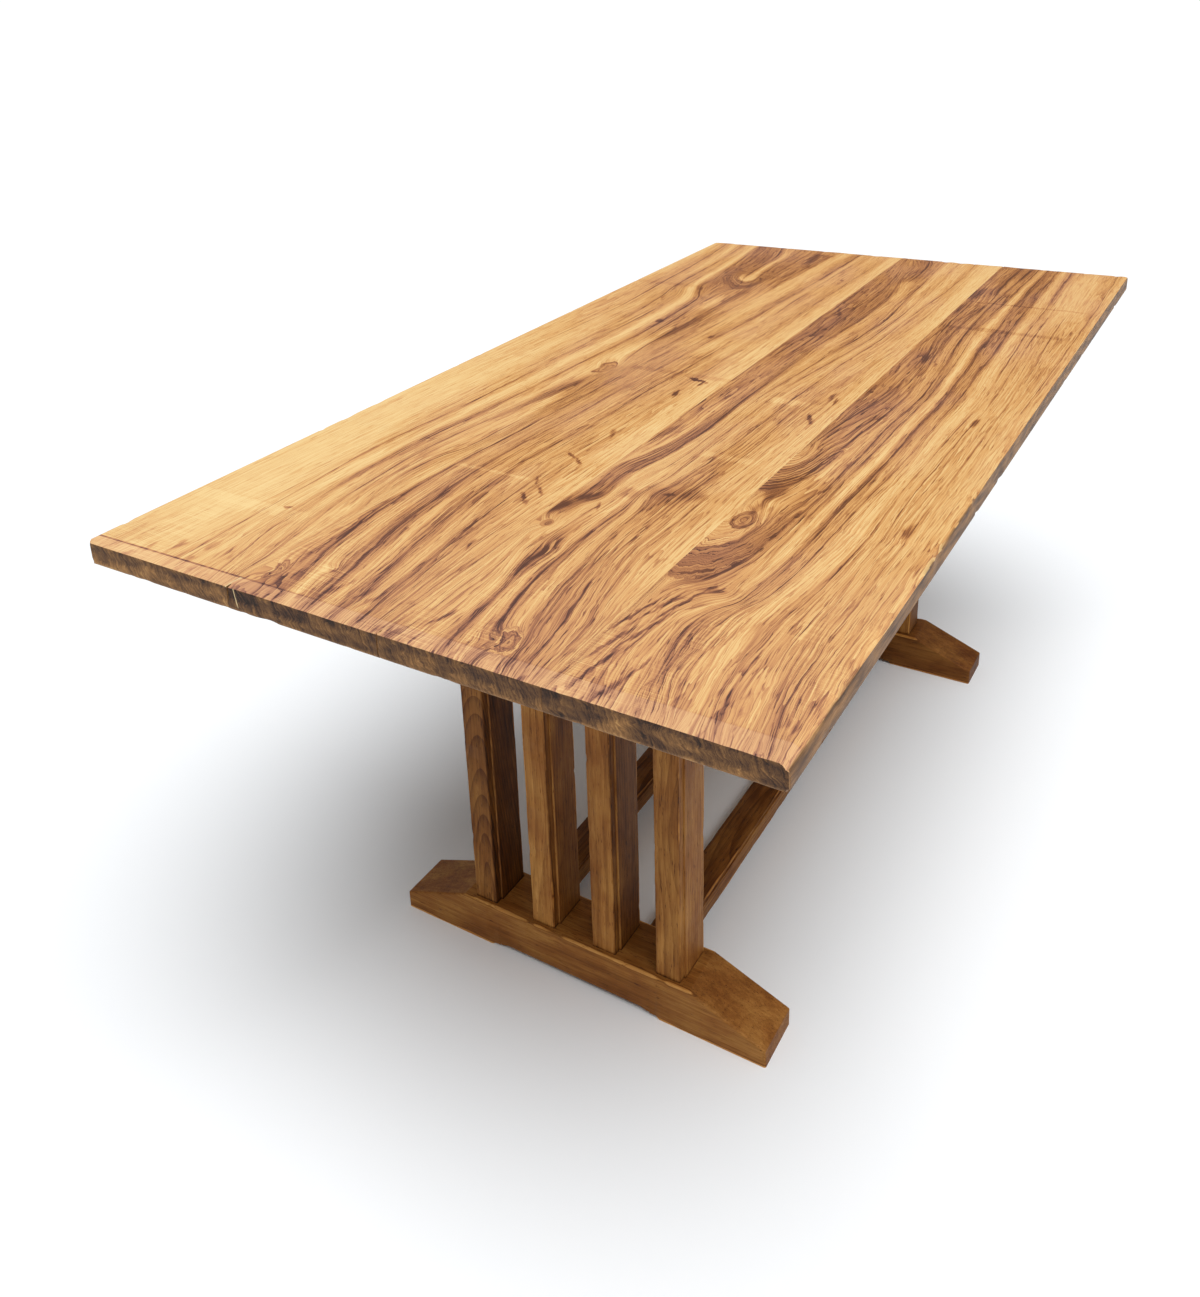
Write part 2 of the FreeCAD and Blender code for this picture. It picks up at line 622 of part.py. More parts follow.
def build_stretcher(doc, name, side):
    """A stretcher between the feet: stepped upper corners and a tenon at each end."""
    body = new_body(doc, name, ("0", stretcher_place(side), "stretcher_bottom"))
    section = new_sketch(body, "section", "YZ_Plane")
    half, narrow = "stretcher_width / 2", "(stretcher_width / 2 - stretcher_rabbet_width)"
    ledge = "(stretcher_height - stretcher_rabbet_depth)"
    corners = ((f"-{half}", "0"), (half, "0"), (half, ledge), (narrow, ledge),
               (narrow, "stretcher_height"), (f"-{narrow}", "stretcher_height"),
               (f"-{narrow}", ledge), (f"-{half}", ledge))
    add_outline(section, corners)
    add_feature(body, "Pad", "rail", section, "trestle_spacing - foot_width", midplane=True)
    ledge_z = value_of(doc, "stretcher_height") - value_of(doc, "stretcher_rabbet_depth")
    narrow_y = value_of(doc, "stretcher_width") / 2 - value_of(doc, "stretcher_rabbet_width")

    def is_arris(middle, direction):
        inner_corner = is_near(middle.z, ledge_z) and is_near(abs(middle.y), narrow_y)
        return runs_along(direction, 0) and not inner_corner

    dress(body, "Chamfer", "arrises", is_arris, "Size", "stretcher_arris_chamfer")
    tenon = new_sketch(body, "tenon_section", "YZ_Plane")
    middle = ("0", "stretcher_height / 2")
    add_rectangle(tenon, middle, "stretcher_tenon_width", "stretcher_tenon_height")
    length = "trestle_spacing - foot_width + 2 * stretcher_tenon_length"
    add_feature(body, "Pad", "tenons", tenon, length, midplane=True)
    chamfer_tenon_ends(body, 0)
    return body


# ---------------------------------------------------------------- screws and washers

def revolve(body, name, corners):
    """Turn a half outline in the XZ plane about the vertical axis."""
    sketch = new_sketch(body, name, "XZ_Plane")
    add_outline(sketch, corners)
    body.Document.recompute()
    turned = body.newObject("PartDesign::Revolution", f"{body.Name}_{name}_turned")
    turned.Profile = sketch
    turned.ReferenceAxis = (sketch, ["V_Axis"])
    turned.Angle = 360
    body.Document.recompute()


def build_screw(doc, name, position):
    """A hexagon-head wood screw, point up, with its thread left smooth."""
    body = new_body(doc, name, position)
    tip = "(washer_thickness + screw_seat_depth + screw_reach)"
    corners = (("0", "0"), ("screw_shank_radius", "0"),
               ("screw_shank_radius", f"{tip} - screw_point_length"), ("screw_point_radius", tip),
               ("0", tip))
    revolve(body, "shank", corners)
    head = new_sketch(body, "head_plan", "XY_Plane", "-screw_head_height")
    turns = [math.pi * step / 3 for step in range(6)]
    # A corner of a hexagon lies its width across the flats over the root of three from the middle.
    corner = f"screw_head_flats / {math.sqrt(3)}"
    add_outline(head, [(f"{corner} * {math.cos(turn)}", f"{corner} * {math.sin(turn)}") for turn in turns])
    add_feature(body, "Pad", "head", head, "screw_head_height")
    return body


def build_washer(doc, name, position):
    """A flat washer between the screw head and its seat."""
    body = new_body(doc, name, position)
    corners = (("washer_bore_radius", "0"), ("washer_radius", "0"),
               ("washer_radius", "washer_thickness"), ("washer_bore_radius", "washer_thickness"))
    revolve(body, "ring", corners)
    return body


def gather(doc, name, pieces):
    """Like pieces that share one node."""
    group = doc.addObject("Part::Compound", name)
    group.Label = name
    group.Links = pieces
    return group


def build_fastenings(doc, end, side):
    """The screws and washers that hold the top to one bearer."""
    under_washer = "table_height - top_thickness - screw_seat_depth - washer_thickness"
    screws = []
    washers = []
    for hand, across in SCREWS:
        position = (f"{side}trestle_spacing / 2", across, under_washer)
        screws.append(build_screw(doc, f"{end}_{hand}_screw", position))
        washers.append(build_washer(doc, f"{end}_{hand}_washer", position))
    return [gather(doc, f"{end}_top_screws", screws), gather(doc, f"{end}_screw_washers", washers)]


# ---------------------------------------------------------------- the whole table

def build_table(doc):
    """Every sub-part of the table."""
    parts = build_top(doc)
    for end, side, turned in TRESTLES:
        parts.append(build_foot(doc, end, side, turned))
        parts.append(build_bearer(doc, end, side, turned))
        for index in range(POSTS_PER_TRESTLE):
            parts.append(build_post(doc, end, side, turned, index))
        parts.extend(build_fastenings(doc, end, side))
    parts.append(build_stretcher(doc, "left_stretcher", ""))
    parts.append(build_stretcher(doc, "right_stretcher", "-"))
    doc.recompute()
    return parts


def check(doc, parts):
    """Stop if any object failed, or any sub-part has no sound solid."""
    for item in doc.Objects:
        if "Invalid" in item.State or "Error" in item.State:
            raise RuntimeError(f"{item.Name} failed: {item.State}")
    for part in parts:
        if part.Shape.isNull() or not part.Shape.isValid() or not part.Shape.Solids:
            raise RuntimeError(f"{part.Label} has no sound solid")


def main():
    doc = FreeCAD.newDocument("trestle_table")
    fill_sheet(doc)
    parts = build_table(doc)
    check(doc, parts)
    os.makedirs("parts", exist_ok=True)
    for part in parts:
        part.Shape.exportStep(f"parts/{part.Label}.step")
        print(part.Label, "solids", len(part.Shape.Solids), "volume", round(part.Shape.Volume))


main()
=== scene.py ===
import math
import random

import bmesh
import bpy
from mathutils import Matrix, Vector


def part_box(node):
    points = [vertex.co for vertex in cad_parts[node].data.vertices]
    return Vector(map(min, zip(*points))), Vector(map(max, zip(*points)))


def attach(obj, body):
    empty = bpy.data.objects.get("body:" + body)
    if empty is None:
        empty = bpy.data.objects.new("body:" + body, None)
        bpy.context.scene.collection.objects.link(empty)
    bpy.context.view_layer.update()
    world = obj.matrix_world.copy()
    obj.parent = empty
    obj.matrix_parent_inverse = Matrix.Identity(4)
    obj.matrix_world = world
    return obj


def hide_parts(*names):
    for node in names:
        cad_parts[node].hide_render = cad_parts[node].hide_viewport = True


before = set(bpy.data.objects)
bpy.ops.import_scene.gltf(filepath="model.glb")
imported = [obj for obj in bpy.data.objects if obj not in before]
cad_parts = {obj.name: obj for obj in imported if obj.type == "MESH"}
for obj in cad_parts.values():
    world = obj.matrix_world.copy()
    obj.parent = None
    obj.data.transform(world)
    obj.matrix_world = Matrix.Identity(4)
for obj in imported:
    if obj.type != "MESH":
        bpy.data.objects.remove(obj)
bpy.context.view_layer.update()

bl_info = {
    "name": "Trestle dining table",
    "version": (1, 0, 0),
    "blender": (4, 5, 0),
    "location": "3D View > Sidebar > Table",
    "description": "Dresses the packed trestle table with its worn wood, its screws, a floor and a camera",
    "category": "Add Mesh",
}

MM = 0.001
MM_PER_METRE = (1000.0, 1000.0, 1000.0)

TOP_BOARDS = ("top_board_1", "top_board_2", "top_board_3", "top_board_4")
SEAM_TONGUES = ("seam_tongue_one", "seam_tongue_two", "seam_tongue_three")
STRETCHERS = ("left_stretcher", "right_stretcher")
ENDS = ("near", "far")
POST_NUMBERS = (1, 2, 3, 4)

HALF_LENGTH, HALF_WIDTH, TOP_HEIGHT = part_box("top_board_1")[1] / MM


# ---------------------------------------------------------------- figure of the top boards
# A guide is a line of the grain, told by its stations along the board: (x, y, tone, line) in millimetres, or
# (x, y, tone) where no dark line lies on it. The tone runs from 0, pale sapwood, to 1, darkest heartwood, and the
# line is half as wide as told, up to WIDEST_LINE. Guides go from the +Y edge of a board to its -Y edge.
WIDEST_LINE = 10.0

BOARD_1_GUIDES = (
    ((-900, 452, .2), (-700, 452, .02), (0, 452, .12), (450, 452, .22), (600, 452, .1), (900, 452, .06)),
    ((-900, 412, .18), (-700, 408, .03), (-300, 400, .06), (0, 390, .18, 1), (300, 382, .32, 2), (500, 392, .42, 4),
     (700, 402, .42, 3), (900, 422, .38, 2)),
    ((-900, 388, .18), (-700, 383, .02), (-300, 374, .05), (0, 368, .08), (300, 366, .2), (500, 374, .3),
     (700, 377, .12), (900, 400, .1)),
    ((-900, 352, .18), (-700, 349, .05), (-500, 345, .1), (-300, 337, .26, 2), (0, 331, .32, 2.5),
     (200, 330, .35, 2.5), (300, 334, .42, 3), (400, 342, .44, 3), (500, 354, .46, 4), (700, 361, .42, 3),
     (900, 380, .4, 2)),
    ((-900, 311, .2), (-850, 314, .24, 1), (-700, 321, .2, 1.2), (-500, 330, .3, 3), (-300, 318, .36, 2.5),
     (0, 314, .36, 2.5), (200, 309, .36, 2.5), (300, 308, .4, 2.5), (400, 312, .4, 2.5), (480, 332, .4, 2.5),
     (560, 337, .38, 2), (700, 346, .26, 1), (900, 364, .2)),
    ((-900, 285, .18), (-600, 305, .04), (-300, 300, .06), (0, 290, .1), (200, 284, .08), (300, 285, .06),
     (400, 290, .06), (500, 319, .08), (700, 333, .06), (900, 352, .06)),
    ((-900, 238, .36, 2), (-870, 246, .36, 2), (-770, 270, .34, 2), (-650, 283, .42, 3), (-590, 288, .56, 6),
     (-450, 288, .56, 6), (-300, 276, .46, 5), (-100, 267, .42, 4), (0, 262, .42, 4), (150, 256, .52, 4),
     (300, 261, .62, 3), (400, 266, .62, 3), (460, 290, .72, 4), (510, 304, .76, 4), (560, 301, .66, 3),
     (640, 312, .62, 2), (900, 338, .6, 1)),
    ((-900, 226, .3), (-720, 258, .16), (-600, 270, .3), (-500, 274, .36), (-300, 258, .26), (-150, 250, .2),
     (0, 250, .18), (100, 246, .42), (300, 251, .46), (400, 257, .46), (500, 275, .6), (560, 283, .7),
     (700, 285, .74), (900, 314, .6)),
    ((-900, 216, .36, 1), (-800, 227, .42, 2), (-720, 246, .38, 2), (-620, 256, .36, 2), (-500, 261, .42, 3),
     (-400, 255, .42, 3), (-300, 240, .5, 4), (-215, 230, .66, 4), (-150, 221, .72, 5), (-122, 215, .5, 3),
     (0, 236, .2), (100, 234, .34, 2), (250, 240, .56, 4), (400, 245, .44, 3), (480, 250, .62, 2), (560, 252, .76, 4),
     (650, 256, .7, 4), (760, 257, .66, 2), (900, 286, .6, 2)),
    ((-900, 213, .3), (-700, 226, .16), (-600, 240, .28), (-500, 245, .28), (-400, 235, .24), (-250, 217, .2),
     (-150, 208, .6), (-60, 214, .4), (50, 222, .05), (150, 222, .3), (300, 223, .44), (380, 223, .12),
     (480, 232, .42), (600, 240, .12), (700, 244, .14), (800, 247, .2), (900, 265, .36)),
    ((-900, 210.5, .42), (-740, 206.5, .3, 1), (-670, 211, .32, 2), (-640, 219, .36, 2), (-545, 232, .42, 2.5),
     (-490, 226, .42, 2.5), (-445, 212, .42, 2), (-330, 206, .36, 2), (-250, 200, .5, 3), (-150, 197, .62, 3),
     (-80, 200, .62), (0, 205, .36, 2), (100, 212, .46, 3), (250, 208, .6, 4), (400, 208, .56, 4), (500, 215, .46, 2),
     (600, 224, .66, 3), (700, 230, .62, 2), (850, 232, .56, 2), (900, 240, .5, 1)),
    ((-900, 208, .42), (-740, 203, .26), (-600, 198, .2), (-450, 192, .4), (-300, 187, .56), (-150, 181, .6),
     (0, 176, .5), (100, 172, .56), (200, 169, .56), (300, 165, .46), (380, 162, .26), (450, 160, .36),
     (600, 155, .56), (750, 149, .62), (840, 146, .66), (865, 145, .36), (900, 144, .4)),
)

BOARD_2_GUIDES = (
    ((-900, 210, .6), (-800, 206, .36), (-600, 199, .5), (-400, 192, .5), (-250, 187, .6), (0, 178, .5),
     (200, 171, .36), (300, 167, .26), (500, 160, .2), (700, 153, .25), (900, 146, .36)),
    ((-900, 140, .6, 3), (-850, 152, .7, 3), (-770, 174, .74, 3), (-700, 183, .74, 3), (-600, 189, .7, 3),
     (-500, 190, .68, 3), (-400, 184, .6, 3), (-300, 178, .56, 3), (-150, 172, .6, 3), (0, 166, .5, 2),
     (200, 158, .35, 2), (400, 150, .2), (900, 138, .2)),
    ((-900, 122, .36), (-850, 135, .25), (-770, 155, .3), (-700, 165, .25), (-600, 172, .3), (-500, 175, .36),
     (-300, 165, .46), (0, 155, .46), (200, 148, .3), (400, 140, .18), (900, 130, .16)),
    ((-900, 94, .7, 4), (-880, 97, .76, 4), (-800, 112, .8, 5), (-700, 135, .8, 5), (-600, 144, .76, 5),
     (-500, 152, .7, 4), (-400, 150, .56, 3), (-300, 143, .56, 3), (-150, 138, .56, 3), (0, 130, .5, 3),
     (150, 122, .5, 2), (300, 112, .46, 3), (500, 104, .52, 3), (600, 102, .36, 2), (650, 100, .52, 3),
     (800, 99, .56, 3), (900, 97, .56, 3)),
    ((-900, 80, .3), (-800, 92, .25), (-700, 112, .25), (-600, 124, .26), (-500, 130, .32), (-300, 125, .46),
     (0, 115, .4), (300, 98, .2), (600, 92, .25), (900, 88, .2)),
    ((-900, 58, .66, 3), (-800, 72, .76, 4), (-700, 88, .76, 5), (-620, 100, .7, 4), (-560, 107, .66, 4),
     (-450, 110, .5, 2), (-300, 102, .5, 2), (-100, 95, .5, 2), (100, 88, .4, 2), (300, 82, .36, 1.5),
     (500, 85, .42, 2), (570, 85, .3, 1), (700, 83, .36, 2), (900, 78, .36, 1)),
    ((-900, 45, .26), (-700, 65, .3), (-560, 82, .3), (-400, 86, .4), (-200, 80, .42), (0, 72, .36), (300, 65, .3),
     (600, 60, .36), (900, 58, .2)),
    ((-900, 28, .6, 3), (-800, 40, .66, 3), (-700, 50, .66, 4), (-600, 62, .5, 2), (-450, 65, .46, 1),
     (-300, 60, .4, 1), (-50, 55, .4, 1), (100, 50, .36, 1), (300, 42, .36, 1), (500, 40, .42, 2), (700, 38, .4, 1),
     (900, 35, .3, 1)),
    ((-900, 10, .52, 2), (-750, 18, .42, 2), (-600, 22, .3, 1), (-450, 20, .25, 1), (-300, 20, .16), (0, 22, .16),
     (300, 20, .16), (600, 22, .2), (900, 20, .1)),
    ((-900, -6, .5), (-700, -5, .46), (-550, -4, .36), (-450, -3.5, .16), (0, -1, .1), (400, 1.2, .12), (900, 4, .1)),
)

BOARD_3_GUIDES = (
    ((-900, -4, .4), (-800, -3.4, .26), (-650, -2.6, .25), (-575, -2, .5), (-540, -2, .8), (-505, -1.8, .5),
     (-420, -1.3, .44), (-350, -1, .36), (-300, -.7, .56), (-150, .2, .66), (0, 1, .6), (130, 1.7, .76),
     (300, 2.7, .72), (600, 4.3, .7), (900, 6, .6)),
    ((-900, -14, .4), (-700, -9, .3), (-600, -6, .3), (-560, -4, .7), (-520, -5, .7), (-480, -7, .46), (-430, -6, .4),
     (-400, -8, .4), (-350, -23, .38), (-300, -33, .4), (-200, -38, .44), (-100, -38, .5), (0, -36, .6),
     (300, -40, .68), (600, -38, .66), (900, -8, .5)),
    ((-900, -20, .46), (-700, -14, .3), (-600, -9, .3), (-560, -7, .9), (-520, -12, .86), (-480, -13, .74),
     (-430, -10, .74, 1), (-400, -12, .76, 1), (-350, -28, .74, 1), (-300, -38, .72), (-200, -43, .66),
     (-100, -44, .6), (0, -45, .6), (300, -50, .68), (600, -46, .66), (900, -12, .5)),
    ((-900, -34, .52, 2), (-750, -33, .32, 1), (-700, -29, .26), (-620, -17, .3), (-570, -18, .5), (-540, -24, .84),
     (-500, -40, .8), (-450, -38, .7), (-400, -42, .78, 2), (-350, -52, .82, 3), (-300, -55, .86, 3),
     (-200, -58, .84, 4), (-100, -57, .7, 3), (0, -57, .66, 3), (150, -58, .6, 3), (300, -64, .7, 3),
     (400, -71, .76, 4), (500, -69, .76, 4), (600, -64, .76, 4), (640, -58, .5, 3), (700, -49, .6, 2),
     (760, -45, .5, 1), (820, -43, .56, 1), (900, -21, .4)),
    ((-900, -56, .3), (-750, -50, .2), (-650, -34, .2), (-550, -34, .24), (-500, -48, .26), (-450, -46, .2),
     (-400, -49, .2), (-300, -64, .2), (-200, -66, .24), (0, -67, .3), (300, -77, .3), (500, -80, .3),
     (600, -79, .25), (680, -70, .36, 1), (740, -71, .76, 4), (790, -70, .7, 4), (850, -64, .66, 4),
     (900, -52, .6, 4)),
    ((-900, -84, .62, 3), (-830, -74, .76, 4), (-780, -68, .7, 4), (-700, -55, .76, 4), (-650, -48, .62, 3),
     (-560, -52, .32, 1), (-450, -64, .3), (-300, -74, .36, 1), (-100, -72, .36, 1), (0, -78, .46, 2),
     (150, -92, .52, 3), (300, -106, .52, 3), (400, -113, .56, 3), (500, -108, .46, 2), (600, -103, .46, 3),
     (700, -99, .42, 2), (900, -88, .42, 2)),
    ((-900, -102, .3), (-800, -82, .3), (-700, -70, .3), (-600, -66, .2), (-450, -76, .2), (-200, -80, .3),
     (0, -86, .3), (200, -106, .3), (400, -121, .25), (600, -114, .2), (900, -100, .16)),
    ((-900, -124, .7, 4), (-830, -106, .8, 5), (-740, -86, .8, 5), (-600, -80, .66, 3), (-520, -83, .62, 3),
     (-430, -90, .42, 1), (-330, -87, .52, 2), (-200, -88, .52, 2), (0, -94, .46, 2), (150, -112, .46, 2),
     (300, -126, .42, 2), (500, -130, .38, 1.5), (700, -125, .32, 1), (900, -118, .26, 1)),
    ((-900, -140, .32), (-800, -118, .3), (-700, -100, .26), (-560, -94, .25), (-400, -98, .3), (-200, -102, .3),
     (0, -108, .3), (300, -134, .25), (600, -140, .2), (900, -132, .16)),
    ((-900, -160, .66, 3), (-850, -148, .7, 4), (-750, -125, .66, 4), (-650, -112, .52, 3), (-560, -105, .5, 3),
     (-480, -106, .62, 3), (-300, -115, .52, 2), (-100, -120, .46, 2), (100, -128, .42, 2), (300, -142, .36, 2),
     (500, -148, .36, 1), (650, -158, .38, 2), (780, -157, .32, 1), (900, -150, .36, 2)),
    ((-900, -178, .62, 3), (-800, -163, .62, 4), (-700, -143, .52, 3), (-600, -133, .46, 2), (-450, -136, .56, 3),
     (-300, -142, .46, 2), (-100, -146, .42, 2), (100, -154, .32, 1.5), (300, -166, .3, 1), (500, -172, .26, 1),
     (900, -166, .12)),
    ((-900, -196, .42, 2), (-800, -186, .46, 3), (-700, -168, .42, 2), (-600, -157, .36, 2), (-450, -160, .36, 2),
     (-300, -165, .3, 1), (-50, -173, .36, 2), (100, -177, .3, 1), (400, -185, .16), (900, -185, .08)),
    ((-900, -206, .3), (-750, -206.2, .3), (-600, -206.3, .2), (-300, -206.7, .16), (0, -207, .16), (300, -207.3, .2),
     (450, -207.5, .06), (900, -208, .08)),
)

BOARD_4_GUIDES = (
    ((-900, -204, .5), (-750, -204, .36), (-665, -204.3, .4), (-560, -204.4, .4), (-400, -204.6, .4),
     (-280, -204.8, .4), (-200, -204.8, .62), (-120, -205, .7), (0, -205, .7), (150, -205.2, .68), (300, -205.4, .66),
     (400, -205.5, .52), (550, -205.6, .7), (580, -205.6, .4), (640, -205.7, .74), (700, -205.7, .56),
     (800, -205.8, .74), (900, -206, .7)),
    ((-900, -208, .5), (-660, -207.5, .5), (-300, -208.5, .4), (-200, -213, .66, 1), (-100, -225, .8, 3),
     (20, -241, .76, 4), (100, -242, .6, 3), (210, -239, .8, 5), (300, -228, .66, 3), (380, -223, .76, 4),
     (480, -222, .56, 2), (600, -222, .5, 2), (650, -220, .66, 3), (720, -222, .52, 2), (900, -228, .52, 2)),
    ((-900, -212, .5), (-660, -210, .4), (-560, -211, .3), (-430, -216, .4), (-395, -232, .6), (-350, -241, .66, 2),
     (-300, -246, .66, 3), (-200, -254, .66, 3), (0, -266, .6, 3), (150, -259, .6, 3), (300, -246, .7, 3),
     (450, -243, .66, 3), (530, -249, .76, 4), (600, -251, .52, 2), (700, -247, .76, 4), (800, -245, .76, 4),
     (900, -248, .76, 4)),
    ((-900, -214, .46), (-660, -214, .36), (-560, -226, .3), (-430, -240, .3), (-350, -258, .3), (-200, -266, .34),
     (0, -276, .4), (150, -270, .4), (300, -257, .4), (450, -253, .4), (530, -254, .5), (700, -255, .4),
     (900, -258, .4)),
    ((-900, -216, .42), (-700, -216, .4), (-668, -222, .5), (-640, -248, .7, 2), (-600, -264, .76, 3),
     (-550, -273, .76, 3), (-480, -276, .7, 4), (-400, -280, .72, 5), (-300, -282, .66, 4), (-100, -283, .6, 4),
     (0, -287, .6, 3), (150, -281, .6, 3), (300, -269, .62, 3), (420, -262, .66, 4), (550, -259, .6, 3),
     (700, -263, .6, 3), (780, -264, .6, 3), (900, -268, .66, 3)),
    ((-900, -262, .5, 2), (-800, -244, .52, 2), (-720, -246, .5, 2), (-680, -264, .56, 2), (-640, -284, .5, 2),
     (-560, -291, .36, 1), (-400, -293, .42, 2), (-300, -292, .56, 2), (0, -297, .56, 2), (100, -295, .52, 2),
     (300, -284, .36, 1), (450, -275, .56, 2), (600, -277, .6, 3), (700, -279, .56, 3), (900, -280, .52, 2)),
    ((-900, -282, .36), (-740, -262, .3), (-690, -276, .3), (-650, -292, .3), (-560, -301, .16), (-300, -304, .12),
     (0, -308, .12), (300, -294, .1), (600, -288, .12), (800, -290, .26), (900, -291, .3)),
    ((-900, -307, .56, 3), (-870, -300, .6, 3), (-800, -284, .66, 4), (-740, -277, .66, 4), (-700, -285, .6, 3),
     (-665, -300, .7, 4), (-560, -312, .66, 4), (-300, -318, .66, 5), (0, -322, .66, 5), (150, -318, .66, 4),
     (300, -308, .7, 5), (400, -308, .6, 4), (500, -303, .62, 3), (700, -300, .66, 4), (900, -298, .66, 3)),
    ((-900, -328, .42), (-800, -306, .46, 2), (-700, -308, .46, 2), (-640, -324, .5, 2), (-400, -335, .42, 2),
     (0, -340, .46, 3), (300, -332, .56, 4), (500, -326, .62, 4), (700, -322, .62, 3), (900, -318, .52, 2)),
    ((-900, -348, .3), (-700, -330, .2), (-500, -350, .16), (0, -354, .16), (300, -344, .16), (600, -338, .16),
     (900, -331, .16)),
    ((-900, -378, .52, 2), (-870, -369, .56, 2), (-800, -356, .56, 3), (-700, -357, .5, 2), (-600, -365, .38, 2),
     (-450, -371, .34, 2), (-300, -366, .32, 2), (0, -372, .3, 2), (300, -362, .3, 2), (400, -357, .36, 2),
     (600, -353, .4, 3), (750, -350, .5, 4), (900, -346, .5, 4)),
    ((-900, -402, .4, 1), (-700, -381, .36, 1), (-450, -386, .34, 2), (-300, -381, .32, 2), (0, -386, .28, 2),
     (300, -376, .36, 2), (500, -370, .3, 2), (700, -366, .2), (900, -362, .3, 1)),
    ((-900, -430, .52, 2), (-800, -412, .52, 2), (-600, -409, .38, 2), (-400, -410, .34, 2), (0, -410, .28, 2),
     (300, -401, .36, 2), (450, -397, .3, 2), (600, -395, .16), (900, -392, .16)),
    ((-900, -442, .46, 1), (-700, -432, .36, 1), (-400, -435, .28, 1), (0, -434, .24, 1), (300, -436, .36, 2),
     (600, -436, .32, 1), (900, -432, .3, 1)),
    ((-900, -452, .52), (-600, -452, .3), (0, -452, .26), (600, -452, .2), (900, -452, .16)),
)

